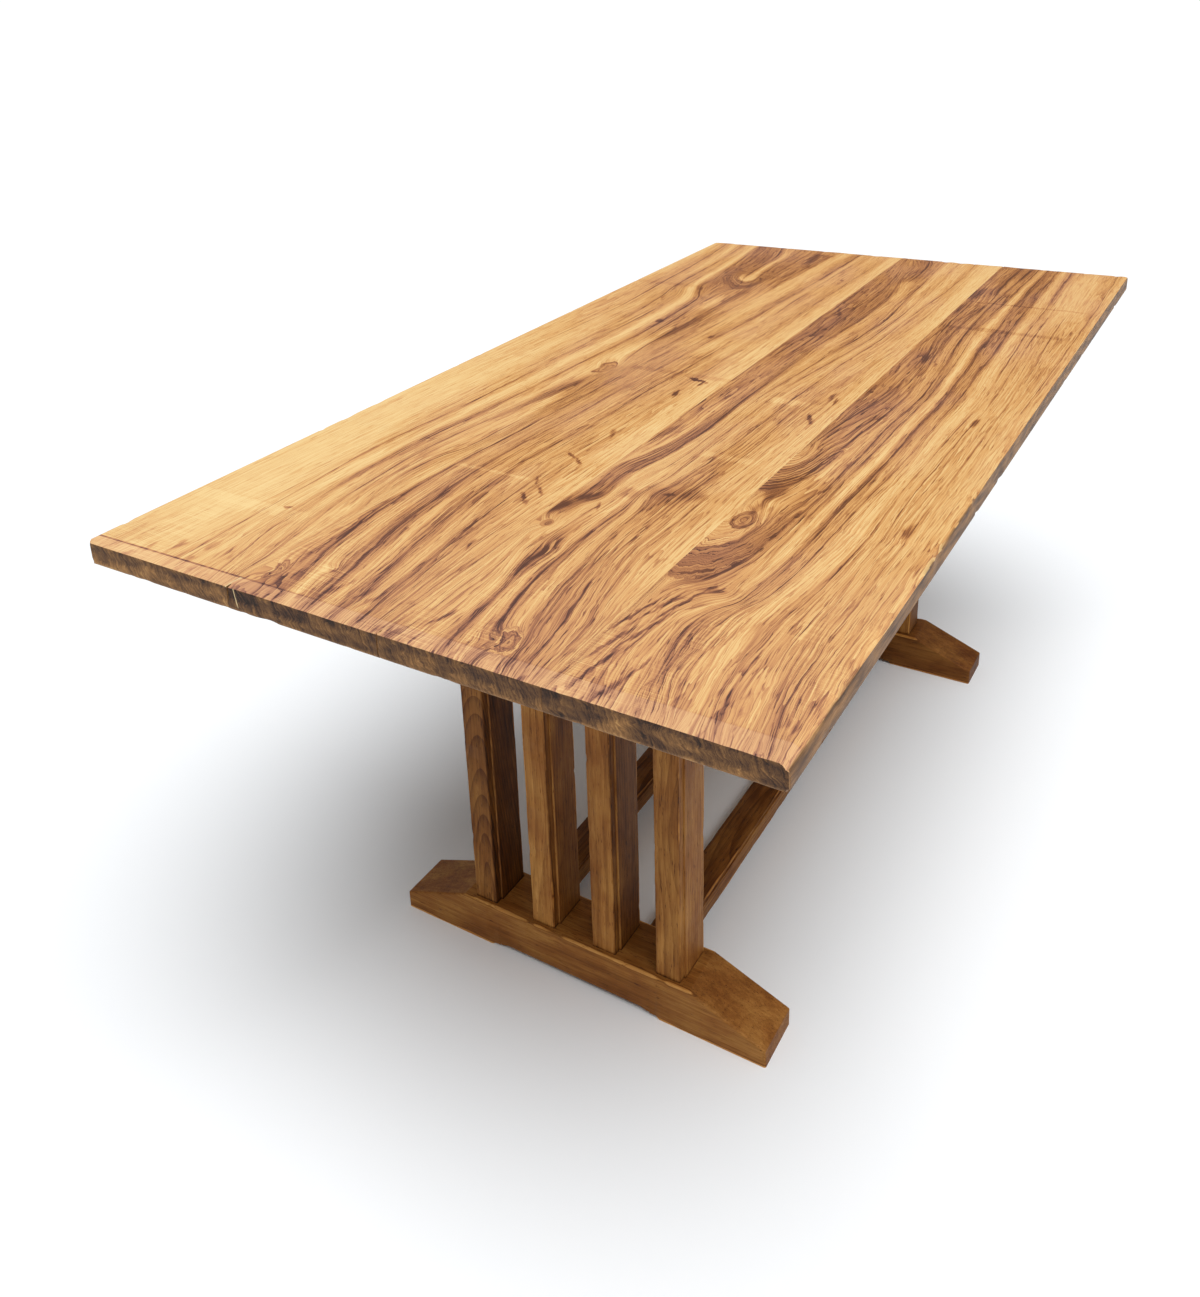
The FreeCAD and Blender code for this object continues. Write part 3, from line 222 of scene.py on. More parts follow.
# A knot lifts the grain round itself: (x, y, half length, half width, lift), in millimetres.
# A mark is a dark patch, tick or bark pocket: (x, y, half length, half width, turn in degrees, depth of tone).
# A curl is a nest of arcs: (x, y, half length, half width, turn, number of arcs, their darkness, whether the nest is
# open towards +X, how ragged it is, its tones as (share of the way out, tone)).
# A cross mark runs across the board: (x, half width, lowest y, highest y, change of tone).
BOARD_FIGURES = {
    "top_board_1": {
        "guides": BOARD_1_GUIDES,
        "knots": ((-50, 214, 30, 16, 14), (520, 246, 44, 22, 18)),
        "curls": ((-52, 222, 34, 14, 0, 2, .3, False, .5, ((0, .8), (.4, .56), (.75, .7), (1, .4))),
                  (616, 247, 128, 52, 3, 12, .55, True, .12,
                   ((0, .1), (.36, .12), (.46, .62), (.6, .58), (.78, .76), (1, .66)))),
        "marks": ((597, 213, 10, 3, 25, .4), (820, 180, 60, 9, 8, .25), (-712, 297, 3, 5, 0, .4),
                  (485, 205, 60, 10, 0, .2), (210, 205, 80, 8, -3, .3), (232, 262, 9, 5, 20, .35)),
        "cross_marks": ((-725, 20, 250, 460, -.08), (490, 14, 300, 460, .07), (-712, 4, 255, 460, .06)),
        "end_shade": .54,
    },
    "top_board_2": {
        "guides": BOARD_2_GUIDES,
        "knots": ((-843, 193, 16, 12, 14), (-815, 133, 10, 8, 9)),
        "curls": ((-843, 193, 24, 13, 12, 2, .3, False, .9, ((0, .8), (.4, .5), (.7, .76), (1, .4))),),
        "marks": ((-815, 133, 5, 4, 0, .5), (-553, 45, 14, 3, 40, .55), (-525, 38, 10, 2.5, 35, .45),
                  (-420, 45, 12, 3, 40, .5), (-405, 65, 9, 2.5, 50, .5), (-310, 55, 14, 3, 20, .35),
                  (-120, 51, 13, 3, 10, .6), (-47, 48, 17, 4, 68, .75), (-60, 35, 8, 2.5, 0, .6),
                  (-640, 60, 16, 2, 14, .4), (-585, 95, 20, 2, 6, .35), (-690, 28, 12, 2, 16, .4),
                  (-500, 60, 10, 2, 30, .4), (175, 130, 10, 4, 0, .4), (650, 57, 7, 3, 15, .3)),
        "cross_marks": ((-30, 12, -10, 190, .1), (-500, 6, 60, 200, -.12), (120, 60, 0, 180, -.06)),
        "end_shade": .62,
    },
    "top_board_3": {
        "guides": BOARD_3_GUIDES,
        "knots": ((-850, -125, 20, 14, 14), (-600, -15, 14, 11, 10), (-465, -90, 30, 18, -9), (-665, -60, 20, 12, 8)),
        "curls": ((-850, -124, 30, 20, 16, 4, .4, False, .9, ((0, .85), (.25, .4), (.5, .8), (.8, .4), (1, .55))),
                  (-600, -15, 12, 11, 0, 1, 0, False, .5, ((0, .95), (.5, .8), (.75, .6), (1, .3)))),
        "marks": ((-553, -10, 16, 6, -8, .4), (-510, -27, 14, 6, -30, .35), (-712, -55, 16, 4, 12, .35),
                  (-675, -50, 18, 4, 6, .3), (-640, -58, 14, 3, -10, .35), (-532, -50, 10, 2, 20, .4),
                  (-478, -72, 14, 14, -70, .22), (-465, -112, 14, 26, -30, .16), (-450, -140, 16, 16, 0, .22),
                  (-462, -118, 5, 4, 0, .35), (-135, -175, 16, 3, 25, .55), (-50, -182, 14, 2.5, 5, .5),
                  (-30, -170, 14, 2.5, 5, .4), (420, -20, 26, 3, 22, .25), (-890, -20, 16, 4, -10, .4),
                  (-840, -45, 14, 3, -15, .4), (-270, -12, 30, 6, -10, .25), (-640, -38, 30, 1.6, -4, .35)),
        "cross_marks": ((-80, 16, -160, -80, -.15), (-320, 14, -180, -80, -.1), (-440, 30, -210, -150, .06)),
        "end_shade": .55,
    },
    "top_board_4": {
        "guides": BOARD_4_GUIDES,
        "knots": ((-662, -282, 16, 16, 9),),
        "curls": ((-470, -210, 190, 72, 0, 14, .16, True, .12,
                   ((0, .3), (.34, .3), (.5, .36), (.56, .94), (.7, .84), (.85, .8), (.93, .9), (1, .55))),
                  (-246, -203, 160, 58, 0, 16, .62, True, .07,
                   ((0, .3), (.4, .34), (.48, .6), (.7, .66), (.94, .8), (1, .44))),
                  (-486, -225, 29, 15, 0, 1, 0, False, .35,
                   ((0, .78), (.6, .74), (.78, .8), (.86, .92), (.93, .6), (1, .3)))),
        "marks": ((-502, -230, 6, 7, 0, .2), (-436, -226, 30, 5, 0, .34), (-395, -226, 20, 16, 0, .26),
                  (-660, -262, 5, 9, 30, .22), (-656, -285, 4, 11, 60, .22), (210, -242, 20, 4, 4, .5),
                  (-50, -387, 16, 3.5, -3, .5), (-430, -405, 18, 4, 0, .4), (-845, -232, 34, 3, -8, .55),
                  (-740, -217, 40, 2, -11, .55), (-770, -240, 44, 2, -12, .45), (-700, -250, 40, 1.8, -14, .45),
                  (-800, -222, 30, 1.8, -10, .4), (-720, -232, 34, 1.6, -12, .4), (-870, -262, 16, 4, -5, .45),
                  (-830, -270, 20, 2, -6, .4), (530, -214, 40, 7, 0, .18), (840, -262, 60, 12, 0, .18),
                  (640, -212, 50, 7, 0, .18)),
        "cross_marks": ((410, 12, -430, -210, .12), (590, 5, -430, -210, .16), (420, 5, -330, -260, .12)),
        "end_shade": .62,
    },
}

# Colours of the oiled top from the palest sapwood to the darkest heartwood, golden along the middle and greyer at
# the near end; then those of its scraped strip, its sides (their darkness partly painted shade) and end grain, its
# underside, and the stained trestles.
TOP_TONES = ((0, (246, 214, 152)), (.16, (237, 196, 131)), (.32, (223, 168, 102)), (.5, (200, 141, 80)),
             (.68, (170, 111, 62)), (.84, (142, 87, 46)), (1, (106, 62, 32)))
NEAR_TONES = ((0, (246, 214, 152)), (.16, (237, 195, 132)), (.32, (222, 168, 113)), (.5, (200, 143, 102)),
              (.68, (166, 112, 86)), (.84, (130, 88, 76)), (1, (86, 60, 58)))
STRIP_TONES = ((0, (240, 200, 148)), (.35, (222, 172, 128)), (.6, (194, 142, 110)), (.85, (140, 95, 82)),
               (1, (84, 56, 52)))
END_TONES = ((0, (208, 162, 100)), (.3, (158, 114, 67)), (.6, (110, 77, 46)), (.85, (74, 49, 33)), (1, (40, 27, 19)))
UNDERSIDE_TONES = ((0, (146, 123, 97)), (.4, (120, 97, 73)), (1, (62, 48, 37)))
TRESTLE_TONES = ((0, (214, 164, 96)), (.25, (180, 126, 63)), (.5, (140, 91, 40)), (.75, (97, 56, 18)),
                 (1, (52, 27, 8)))
FILLER = (236, 208, 156)
WARM_CAST = (255, 216, 184)
PLYWOOD_TONES = ((0.3, (214, 176, 126)), (0.7, (176, 132, 84)))
ZINC_TONES = ((0.3, (190, 188, 176)), (0.7, (214, 212, 200)))

# Layers of noise drawn out along the grain: cycles for each millimetre along it and across it, a seed of their own
# and how finely they are broken up.
TOP_GRAIN = {
    "sway": (.006, .016, 0, 2), "ripple": (.02, .06, 3, 2), "shiver": (.06, .16, 5, 2), "thickness": (.02, .1, 7, 2),
    "drift": (.0016, .035, 1, 3), "thread_drift": (.004, .11, 2, 3), "fade": (.006, .05, 9, 2),
    "strength": (.004, .03, 10, 2), "bands": (.0025, .07, 0, 2), "streaks": (.0045, .42, 4, 4),
    "fibres": (.02, 1.5, 6, 3), "pores": (.028, .5, 8, 2), "hair_drift": (.0025, .16, 15, 3),
    "mark_length": (.05, .12, 11, 2), "mark_width": (.05, .16, 12, 2), "cast": (.004, .009, 14, 2),
    "scraped": (.012, .9, 17, 3), "scuffs": (.022, .075, 16, 4), "crease_break": (.01, .05, 0, 2),
    "blotches": (.03, .07, 21, 4), "fibre_ends": (.06, .36, 20, 4), "rough_side": (.02, .12, 22, 4),
}
TRESTLE_GRAIN = {
    "sway": (.006, .01, 4, 2), "drift": (.0015, .05, 0, 2), "bands": (.003, .06, 5, 1), "streaks": (.006, .22, 6, 4),
    "fibres": (.03, 1.1, 7, 3), "pores": (.06, .8, 8, 2), "patches": (.012, .03, 9, 4),
}
PLY_SCALE = (6.0, 60.0, 900.0)
RELIEF_STRENGTH, RELIEF_DEPTH = 0.35, 0.0008

# The strip's inner side starts this far along at the +Y edge and moves this much for each millimetre across.
STRIP_START = -879.0
STRIP_SLANT = 11 / 900
SEAM_ONE_NEAR = 209.0
SEAM_ONE_BOARDS = ("top_board_1", "top_board_2")

# The shoulder of a post's lower tenon stands this far above the tenon's end, and a stretcher's tenons are this long.
POST_SHOULDER = 42.0
STRETCHER_TENON = 36.0

# Faces closer to flat than the first angle are merged, arrises sharper than the second are worn, and edges
# blunter than the third are shaded smooth.
FLAT_ANGLE = math.radians(0.5)
ARRIS_ANGLE = math.radians(12)
SMOOTH_ANGLE = math.radians(32)

CORNER_RADIUS = 13.0


def corner_facet(turn):
    """A facet of the rounded near left corner: a point of its plane in millimetres, and its outward direction."""
    back, left = math.cos(math.radians(turn)), math.sin(math.radians(turn))
    point = (-HALF_LENGTH + CORNER_RADIUS * (1 - back), HALF_WIDTH - CORNER_RADIUS * (1 - left), TOP_HEIGHT)
    return point, (-back, left, 0.0)


# Facets worn or planed off a board, told in the same way. The right edge is worn to a slanting flat that fades along
# the table, and the near left corner is rounded.
PARED_FACETS = {
    "top_board_1": tuple(corner_facet(turn) for turn in (15, 30, 45, 60, 75)),
    "top_board_4": (((-900, -450, 752.0), (-.0075, -.72, .69)), ((-900, -450, 756.5), (-.005, -.42, .9)),),
}

# Cuts just under the slopes of a foot's toes, from its middle: a point of the plane in millimetres and its direction.
TOE_CUTS = tuple(((0.0, side * 302.5, -14.0), (0.0, side * 46.0, 114.0)) for side in (-1.0, 1.0))

# Dents of their own: (place, radius, share of the full depth), in millimetres.
BOARD_DENTS = {
    "top_board_2": (((-900, 206, 757), 9.0, 1.0), ((-899, 150, 732), 14.0, 0.6)),
    "top_board_4": (((-462, -449, 759), 14.0, 1.0), ((-300, -449, 759), 18.0, 0.7), ((-896, -450, 760), 10.0, 0.4)),
}

# How deep the arrises of each kind of piece are rubbed and nicked and its dents are pressed, in millimetres.
BOARD_WEAR = (1.4, 0.4, 2.2)
FOOT_WEAR = (2.2, 1.0, 2.4)
BEARER_WEAR = (1.0, 0.5, 1.5)
BAR_WEAR = (1.1, 0.5, 1.6)
SEED_STEP = 3.7

# Where pieces are cut so that they can be worn, in millimetres: how far inside their sides, the heights of the two
# cuts round the boards, the step of the small cuts and the length of the boards' ends that have them all over.
ARRIS_MARGIN = 5.0
BOARD_MARGIN = 12.0
EDGE_CUTS = (TOP_HEIGHT - 21.0, TOP_HEIGHT - 5.0)
CUT_STEP = 5.0
END_ZONE = 36.0

# How many dents each end and outer side of a board, each bar and the toes of a foot have, their radii, and how far
# the lower ones of a board are below its upper face.
END_DENTS = 9
SIDE_DENTS = 26
BAR_DENTS = 10
TOE_DENTS = 8
DENT_RADII = (4.0, 11.0)
LOWER_ARRIS = 28.0

# Sizes and places of the screws and washers in millimetres. The seat is the height of the counterbore's floor.
# HEAD_STEPS are the steps of the head's lower side, each told by how far it lies inwards and how high it is sunk.
HEAD_FLATS = 8.0
HEAD_HEIGHT = 3.5
HEAD_STEPS = ((0.5, 0.1), (0.4, 0.25))
SHANK_RADIUS = 2.5
SCREW_LENGTH = 50.0
NECK = 20.0
POINT = 5.0
THREAD_PITCH = 2.2
WASHER = 1.5
WASHER_RADIUS = 9.0
WASHER_HOLE = 2.8
SEAT = 700.0
UNDER_WASHER = SEAT - WASHER
TRESTLE_PLACE = 520.0
SCREW_ROW = (-306.0, -18.0, 306.0)

# The look of a piece of the trestles: shade and contrast of its rings, how far beside it the pith lies, how the
# rings drift, sway and lean along it, how much painted shade darkens its -Y side (painted light where it is below
# nought), and its knots, told as above. PIECE_LOOKS tells what differs from a plain piece.
PLAIN_LOOK = {"shade": .5, "contrast": .16, "pith_deep": 90.0, "pith_wide": 25.0, "drift": 24.0, "drift_scale": .003,
              "sway": 8.0, "lean": 0.0, "painted_side_shade": .21, "knots": ()}
PIECE_LOOKS = {
    "near_post_4": {"shade": .62, "contrast": .2, "pith_deep": 70.0, "pith_wide": 3.0, "lean": .13},
    "near_post_3": {"shade": .35, "contrast": .14, "knots": ((255.0, -8.0, 34.0, 12.0, 12.0),)},
    "near_post_2": {"shade": .41, "contrast": .12},
    "near_post_1": {"shade": .48, "contrast": .14, "painted_side_shade": -.02},
    "near_foot": {"shade": .47, "contrast": .05, "painted_side_shade": .08},
    "far_foot": {"shade": .62, "contrast": .05, "painted_side_shade": .1},
    **dict.fromkeys(STRETCHERS, {"shade": .66, "contrast": .16, "painted_side_shade": -.1}),
}


# ---------------------------------------------------------------- node helpers

def srgb(red, green, blue):
    """A colour given in 0 to 255 steps, as the linear colour that a shader takes."""
    steps = (value / 255 for value in (red, green, blue))
    return tuple(s / 12.92 if s <= 0.04045 else ((s + 0.055) / 1.055) ** 2.4 for s in steps) + (1.0,)


def by_math(operation, swapped=False):
    """A method that adds one Math node for an operator of Python."""
    def apply(value, *others):
        terms = (value, *others)
        return value.graph.math(operation, *(reversed(terms) if swapped else terms))
    return apply


class Value:
    """What comes out of a node. Arithmetic on it adds Math nodes, and a | b is the higher of the two."""

    __add__, __radd__ = by_math("ADD"), by_math("ADD", swapped=True)
    __sub__, __rsub__ = by_math("SUBTRACT"), by_math("SUBTRACT", swapped=True)
    __mul__, __rmul__ = by_math("MULTIPLY"), by_math("MULTIPLY", swapped=True)
    __pow__, __rpow__ = by_math("POWER"), by_math("POWER", swapped=True)
    __or__, __ror__ = by_math("MAXIMUM"), by_math("MAXIMUM", swapped=True)
    __mod__, __abs__ = by_math("FLOORED_MODULO"), by_math("ABSOLUTE")

    def __init__(self, graph, socket):
        self.graph = graph
        self.socket = socket


class Graph:
    """Short calls that add and link the nodes of one material, with its layers of grain and its seed."""

    def __init__(self, tree, layers=None, seed=0.0):
        self.tree = tree
        self.layers = layers
        self.seed = seed

    def feed(self, socket, value):
        if isinstance(value, Value):
            self.tree.links.new(value.socket, socket)
        else:
            socket.default_value = value

    def node(self, kind, inputs=(), **settings):
        node = self.tree.nodes.new(kind)
        for name, value in settings.items():
            setattr(node, name, value)
        for key, value in dict(inputs).items():
            self.feed(node.inputs[key], value)
        return node

    def add(self, kind, inputs=(), output=0, **settings):
        return Value(self, self.node(kind, inputs, **settings).outputs[output])

    def math(self, operation, *terms, clamp=False):
        return self.add("ShaderNodeMath", enumerate(terms), operation=operation, use_clamp=clamp)

    def clamp(self, value):
        return self.math("ADD", value, 0.0, clamp=True)

    def fit(self, value, low, high, to_low=0.0, to_high=1.0, smooth=False):
        """value moved from one range to another, and held inside it."""
        kind = "SMOOTHSTEP" if smooth else "LINEAR"
        limits = enumerate((value, low, high, to_low, to_high))
        return self.add("ShaderNodeMapRange", limits, interpolation_type=kind, clamp=True)

    def join(self, *parts):
        return self.add("ShaderNodeCombineXYZ", enumerate(parts))

    def split(self, vector):
        return [Value(self, socket) for socket in self.node("ShaderNodeSeparateXYZ", {0: vector}).outputs]

    def vector_math(self, operation, *terms, output=0):
        return self.add("ShaderNodeVectorMath", enumerate(terms), output, operation=operation)

    def coordinates(self, kind):
        """Object is the place in the table's frame, in metres, and Normal is the way that a face looks."""
        return self.add("ShaderNodeTexCoord", output=kind)

    def noise(self, vector, scale=1.0, detail=2.0):
        return self.add("ShaderNodeTexNoise", {"Vector": vector, "Scale": scale, "Detail": detail})

    def grain(self, layer, along, across, depth=0.0):
        """A layer of noise drawn out along the grain, at a place in millimetres."""
        along_scale, across_scale, own_seed, detail = self.layers[layer]
        third = self.seed + own_seed + depth * across_scale
        return self.noise(self.join(along * along_scale, across * across_scale, third), detail=detail)

    def rings(self, layer, along, ring, count, sway, power):
        """Growth rings, count of them in a millimetre: each darkens slowly and ends at a sharp line."""
        return ((ring * count + self.grain(layer, along, ring) * sway) % 1) ** power

    def ellipse(self, x, y, middle, reach, turn=0.0):
        """The place of (x, y) inside a turned ellipse, as a vector that is 1 long on its outline."""
        inputs = (self.join(x, y, 0.0), (*middle, 0.0), (0.0, 0.0, math.radians(turn)), (*reach, 1.0))
        return self.add("ShaderNodeMapping", enumerate(inputs), vector_type="TEXTURE")

    def length_of(self, vector):
        return self.vector_math("LENGTH", vector, output="Value")

    def way_out(self, x, y, middle, reach, turn=0.0):
        """How far out (x, y) lies in an ellipse: 0 at its middle and 1 on its outline."""
        return self.length_of(self.ellipse(x, y, middle, reach, turn))

    def ramp(self, value, stops):
        node = self.node("ShaderNodeValToRGB", {0: value})
        elements = node.color_ramp.elements
        while len(elements) < len(stops):
            elements.new(1.0)
        for element, (place, colour) in zip(elements, stops):
            element.position = place
            element.color = srgb(*colour)
        return Value(self, node.outputs[0])

    def curve(self, value, points):
        node = self.node("ShaderNodeFloatCurve", {0: 1.0, 1: value})
        line = node.mapping.curves[0]
        while len(line.points) < len(points):
            line.points.new(0.5, 0.5)
        for point, place in zip(line.points, points):
            point.location = place
            point.handle_type = "AUTO_CLAMPED"
        node.mapping.update()
        return Value(self, node.outputs[0])

    def mix(self, factor, first, second, blend="MIX"):
        inputs = {0: factor, 6: first, 7: second}
        return self.add("ShaderNodeMix", inputs, 2, data_type="RGBA", blend_type=blend)

    def surface(self, colour, roughness, specular=0.5, height=None):
        """Gives the material its colour, roughness, sheen and fine relief."""
        shader = self.tree.nodes["Principled BSDF"]
        self.feed(shader.inputs["Base Color"], colour)
        self.feed(shader.inputs["Roughness"], roughness)
        self.feed(shader.inputs["Specular IOR Level"], specular)
        if height is not None:
            relief = {"Strength": RELIEF_STRENGTH, "Distance": RELIEF_DEPTH, "Height": height}
            self.feed(shader.inputs["Normal"], self.add("ShaderNodeBump", relief))
        return shader


def new_material(name, layers=None, seed=0.0):
    material = bpy.data.materials.new(name)
    material.use_nodes = True
    return material, Graph(material.node_tree, layers, seed)


# ---------------------------------------------------------------- wood of the top

def along(x):
    """A station's place along the table, from 0 at the near end to 1 at the far end."""
    return (x + HALF_LENGTH) / (2 * HALF_LENGTH)


def across(y):
    return (y + HALF_WIDTH) / (2 * HALF_WIDTH)


def follow_guides(graph, guides, x, v, thickness):
    """Ring place, tone and dark lines between a board's guides, where v is the place across the top."""
    u = x * (1 / (2 * HALF_LENGTH)) + 0.5
    ring, lines = 0.0, 0.0
    before = before_tone = before_line = None
    for guide in guides:
        line = graph.curve(u, [(along(s[0]), across(s[1])) for s in guide])
        line_tone = graph.curve(u, [(along(s[0]), s[2]) for s in guide])
        if any(s[3:] for s in guide):
            width = graph.curve(u, [(along(s[0]), sum(s[3:]) / WIDEST_LINE) for s in guide])
            reach = width * thickness * (WIDEST_LINE / (2 * HALF_WIDTH))
            lines |= graph.fit(abs(v - line), reach, reach * 0.3, smooth=True)
        if before is None:
            tone = line_tone
        else:
            spread = sum(s[1] for s in before_line) / len(before_line) - sum(s[1] for s in guide) / len(guide)
            ring += graph.fit(v, before, line) * spread
            share = graph.fit(v, before, line, smooth=True)
            tone += share * (line_tone - before_tone)
        before, before_tone, before_line = line, line_tone, guide
    return ring, tone, lines


def add_curls(graph, curls, x, y, ring, tone, sway, tremble):
    """Ring place and tone with each nest of arcs let into them, where the nests are, and their arcs."""
    curled = arcs = 0.0
    for at_x, at_y, half_length, half_width, turn, count, depth, opens, ragged, tones in curls:
        spot = graph.ellipse(x, y, (at_x, at_y), (half_length, half_width), turn)
        out = graph.length_of(spot) + (sway - 0.5) * ragged + (tremble - 0.5) * (ragged * 0.7)
        inside = graph.fit(out, 1.0, 0.9, smooth=True)
        if opens:
            inside *= graph.fit(graph.split(spot)[0], 0.35, -0.3, smooth=True)
        arc = (out * count % 1) ** 2.4
        arcs += arc * inside * depth
        nested = out * half_width
        ring += inside * (nested - ring)
        shade = graph.curve(graph.clamp(out), tones)
        tone += inside * (shade - tone)
        curled |= inside
    return ring, tone, curled, arcs


def top_wood(name, seed):
    """The oiled wood of one board: its own guides, knots and marks, and fine grain that follows the guides."""
    figure = BOARD_FIGURES[name]
    material, graph = new_material(name + "_wood", TOP_GRAIN, seed)
    facing = graph.split(graph.coordinates("Normal"))
    x, y, z = graph.split(graph.vector_math("MULTIPLY", graph.coordinates("Object"), MM_PER_METRE))
    edge_y = y
    end_face = graph.fit(abs(facing[0]), 0.45, 0.75, smooth=True)
    long_side = graph.fit(abs(facing[1]), 0.7, 0.9, smooth=True)

    # the grain leans inside the board, so lines on the face run down the end at a slant
    depth = TOP_HEIGHT - z
    y += depth * 0.3

    for knot_x, knot_y, half_length, half_width, lift in figure["knots"]:
        out = graph.way_out(x, y, (knot_x, knot_y), (half_length, half_width))
        y += 0.5 ** (out * out) * lift

    y += (graph.grain("sway", x, y) - 0.5) * 8.0
    wild = graph.fit(x, -560.0, -760.0, 0.3, 1.0, smooth=True)
    ripple = graph.grain("ripple", x, y)
    y += (ripple - 0.5) * (wild * 5.0)
    shiver = graph.grain("shiver", x, y)
    y += (shiver - 0.5) * (wild * 1.6)

    v = y * (1 / (2 * HALF_WIDTH)) + 0.5
    thickness = graph.fit(graph.grain("thickness", x, y), 0.32, 0.62, 0.2, 1.1)
    ring, tone, lines = follow_guides(graph, figure["guides"], x, v, thickness)
    ring, tone, curled, arcs = add_curls(graph, figure["curls"], x, y, ring, tone, ripple, shiver)
    tone = tone * 0.76 + 0.1
    heart = graph.fit(tone, 0.08, 0.5, 0.34, 1.0) * graph.fit(x, -300.0, 900.0, 0.88, 0.62)

    # rings of three widths, with fibres, streaks and pores between them
    growth = graph.rings("drift", x, ring, 0.11, 9.0, 3.6)
    threads = graph.rings("thread_drift", x, ring, 0.2, 7.0, 3.2)
    hairs = graph.rings("hair_drift", x, ring, 0.34, 6.0, 4.0)
    fade = graph.fit(graph.grain("fade", x, ring), 0.38, 0.62, 0.05, 1.0)
    strong = graph.fit(graph.grain("strength", x, ring), 0.35, 0.65, 0.25, 1.0) * (1.0 - curled * 0.7)
    bands = graph.grain("bands", x, ring)
    streaks = graph.grain("streaks", x, ring, z)
    fibres = graph.grain("fibres", x, ring, z)
    dashes = graph.fit(graph.grain("pores", x, ring, z), 0.6, 0.66, smooth=True)

    # the dark heartwood shows all of this more than the pale sapwood
    tone += (bands - 0.5) * (heart * 0.16)
    tone += growth * strong * (heart * 0.5)
    tone += threads * fade * (heart * 0.54)
    tone += hairs * (heart * graph.fit(fade, 0.05, 1.0, 0.5, 0.2))
    tone += arcs * heart
    tone += (streaks - 0.5) * (heart * 0.5 + 0.05)
    tone += (fibres - 0.5) * 0.42
    tone += dashes * (heart * 0.36)
    streaked = graph.fit(streaks, 0.34, 0.62, 0.2, 1.0)
    tone += lines * streaked * graph.fit(x, -820.0, -500.0, 0.32, 0.4)
    tone -= heart * 0.23

    # marks have ragged outlines
    ragged = ripple * 0.5 + (streaks - 0.5) * 1.6
    mark_x = x + (graph.grain("mark_length", x, y) - 0.5) * 16.0
    mark_y = y + (graph.grain("mark_width", x, y) - 0.5) * 9.0
    for at_x, at_y, half_length, half_width, turn, strength in figure["marks"]:
        out = graph.way_out(mark_x, mark_y, (at_x, at_y), (half_length, half_width), turn)
        tone += graph.fit(out - ragged, 1.5, 0.2, smooth=True) * strength
    for at_x, half, low_y, high_y, strength in figure["cross_marks"]:
        near = graph.fit(abs(mark_x - at_x), half, half * 0.3, smooth=True)
        inside = graph.fit(mark_y, low_y, low_y + 20.0) * graph.fit(mark_y, high_y, high_y - 20.0)
        tone += near * inside * strength

    # the tone grows darker towards the far end
    tone += graph.fit(x, -300.0, 900.0, 0.0, 0.16) * heart

    # dirt and scuffs lie in dark smudges near the strip, and a scraper has left pale marks across the boards
    cast = graph.grain("cast", x, y)
    scraped = graph.fit(graph.grain("scraped", edge_y, x), 0.5, 0.7)
    where = graph.fit(x, -600.0, -860.0, 0.1, 1.0) * graph.fit(cast, 0.42, 0.6)
    tone -= scraped * where * 0.3
    scuffs = graph.fit(graph.grain("scuffs", x, y), 0.56, 0.68, smooth=True)
    tone += scuffs * graph.fit(x, -760.0, -890.0, smooth=True) * 0.34

    # the bevelled strip along the near end is scraped paler, with a dark line in the angle at its inner side
    inner = STRIP_START + (HALF_WIDTH - edge_y) * STRIP_SLANT
    from_strip = x - inner
    strip = graph.fit(from_strip, 1.0, -1.5, smooth=True) * graph.fit(facing[2], 0.4, 0.7)
    crease = graph.fit(abs(from_strip), 2.4, 0.6, smooth=True) * graph.fit(edge_y, 60.0, 260.0, 0.12, 1.0)
    crease *= graph.fit(graph.grain("crease_break", x, edge_y), 0.3, 0.6, 0.15, 0.6)
    tone += crease * graph.fit(facing[2], 0.5, 0.8)

    golden = graph.ramp(graph.clamp(tone), TOP_TONES)
    greyer = graph.ramp(graph.clamp(tone), NEAR_TONES)
    near_end = graph.fit(x, -420.0, -820.0, 0.0, 0.8)
    colour = graph.mix(graph.fit(cast, 0.4, 0.62, 0.0, 0.6) | near_end, golden, greyer)
    pale = graph.ramp(graph.clamp(tone * 0.9 + 0.02), STRIP_TONES)
    colour = graph.mix(strip * 0.6, colour, pale)

    # end grain has curly slanting fibres and blotches, is darker towards its top and paler along its lower arris; the
    # long sides are rough, blotched and partly darkened with painted shade
    blotches = graph.grain("blotches", edge_y, z)
    square = edge_y - z * 0.45 + (blotches - 0.5) * 30.0
    fibre_ends = graph.grain("fibre_ends", z, square)
    end_tone = (fibre_ends - 0.5) * 0.95 + (blotches - 0.5) * 1.2 + (tone - 0.5) * 0.3
    end_tone += graph.fit(z, 740.0, 754.0, -0.06, 0.08) - graph.fit(z, 737.0, 731.0) * 0.25
    end_tone = graph.clamp(end_tone + (figure["end_shade"] + 0.07))
    colour = graph.mix(end_face, colour, graph.ramp(end_tone, END_TONES))
    # painted shade in part: the long sides take the darker tones of the end grain
    rough_side = graph.grain("rough_side", x, z)
    side_tone = 0.5 + (rough_side - 0.5) * 1.3 + (fibres - 0.5) * 0.5
    colour = graph.mix(long_side, colour, graph.ramp(graph.clamp(side_tone), END_TONES))

    # the underside was never oiled, and has greyed
    beneath = graph.fit(facing[2] * -1.0, 0.5, 0.9)
    colour = graph.mix(beneath, colour, graph.ramp(tone * 0.7 + (fibres - 0.5) * 0.5, UNDERSIDE_TONES))

    # pale filler stands in the glue seam where it crosses the strip, and has run down the end
    if name in SEAM_ONE_BOARDS:
        over_strip = graph.fit(abs(mark_y - SEAM_ONE_NEAR), 1.6, 0.9) * strip
        run_y = edge_y - (SEAM_ONE_NEAR - 9.0) + depth * 0.24
        down_end = graph.fit(abs(run_y), 1.3, 0.7) * end_face * graph.fit(z, 736.0, 741.0) * graph.fit(x, 0.0, -9.0)
        colour = graph.mix((over_strip | down_end) * 0.8, colour, srgb(*FILLER))

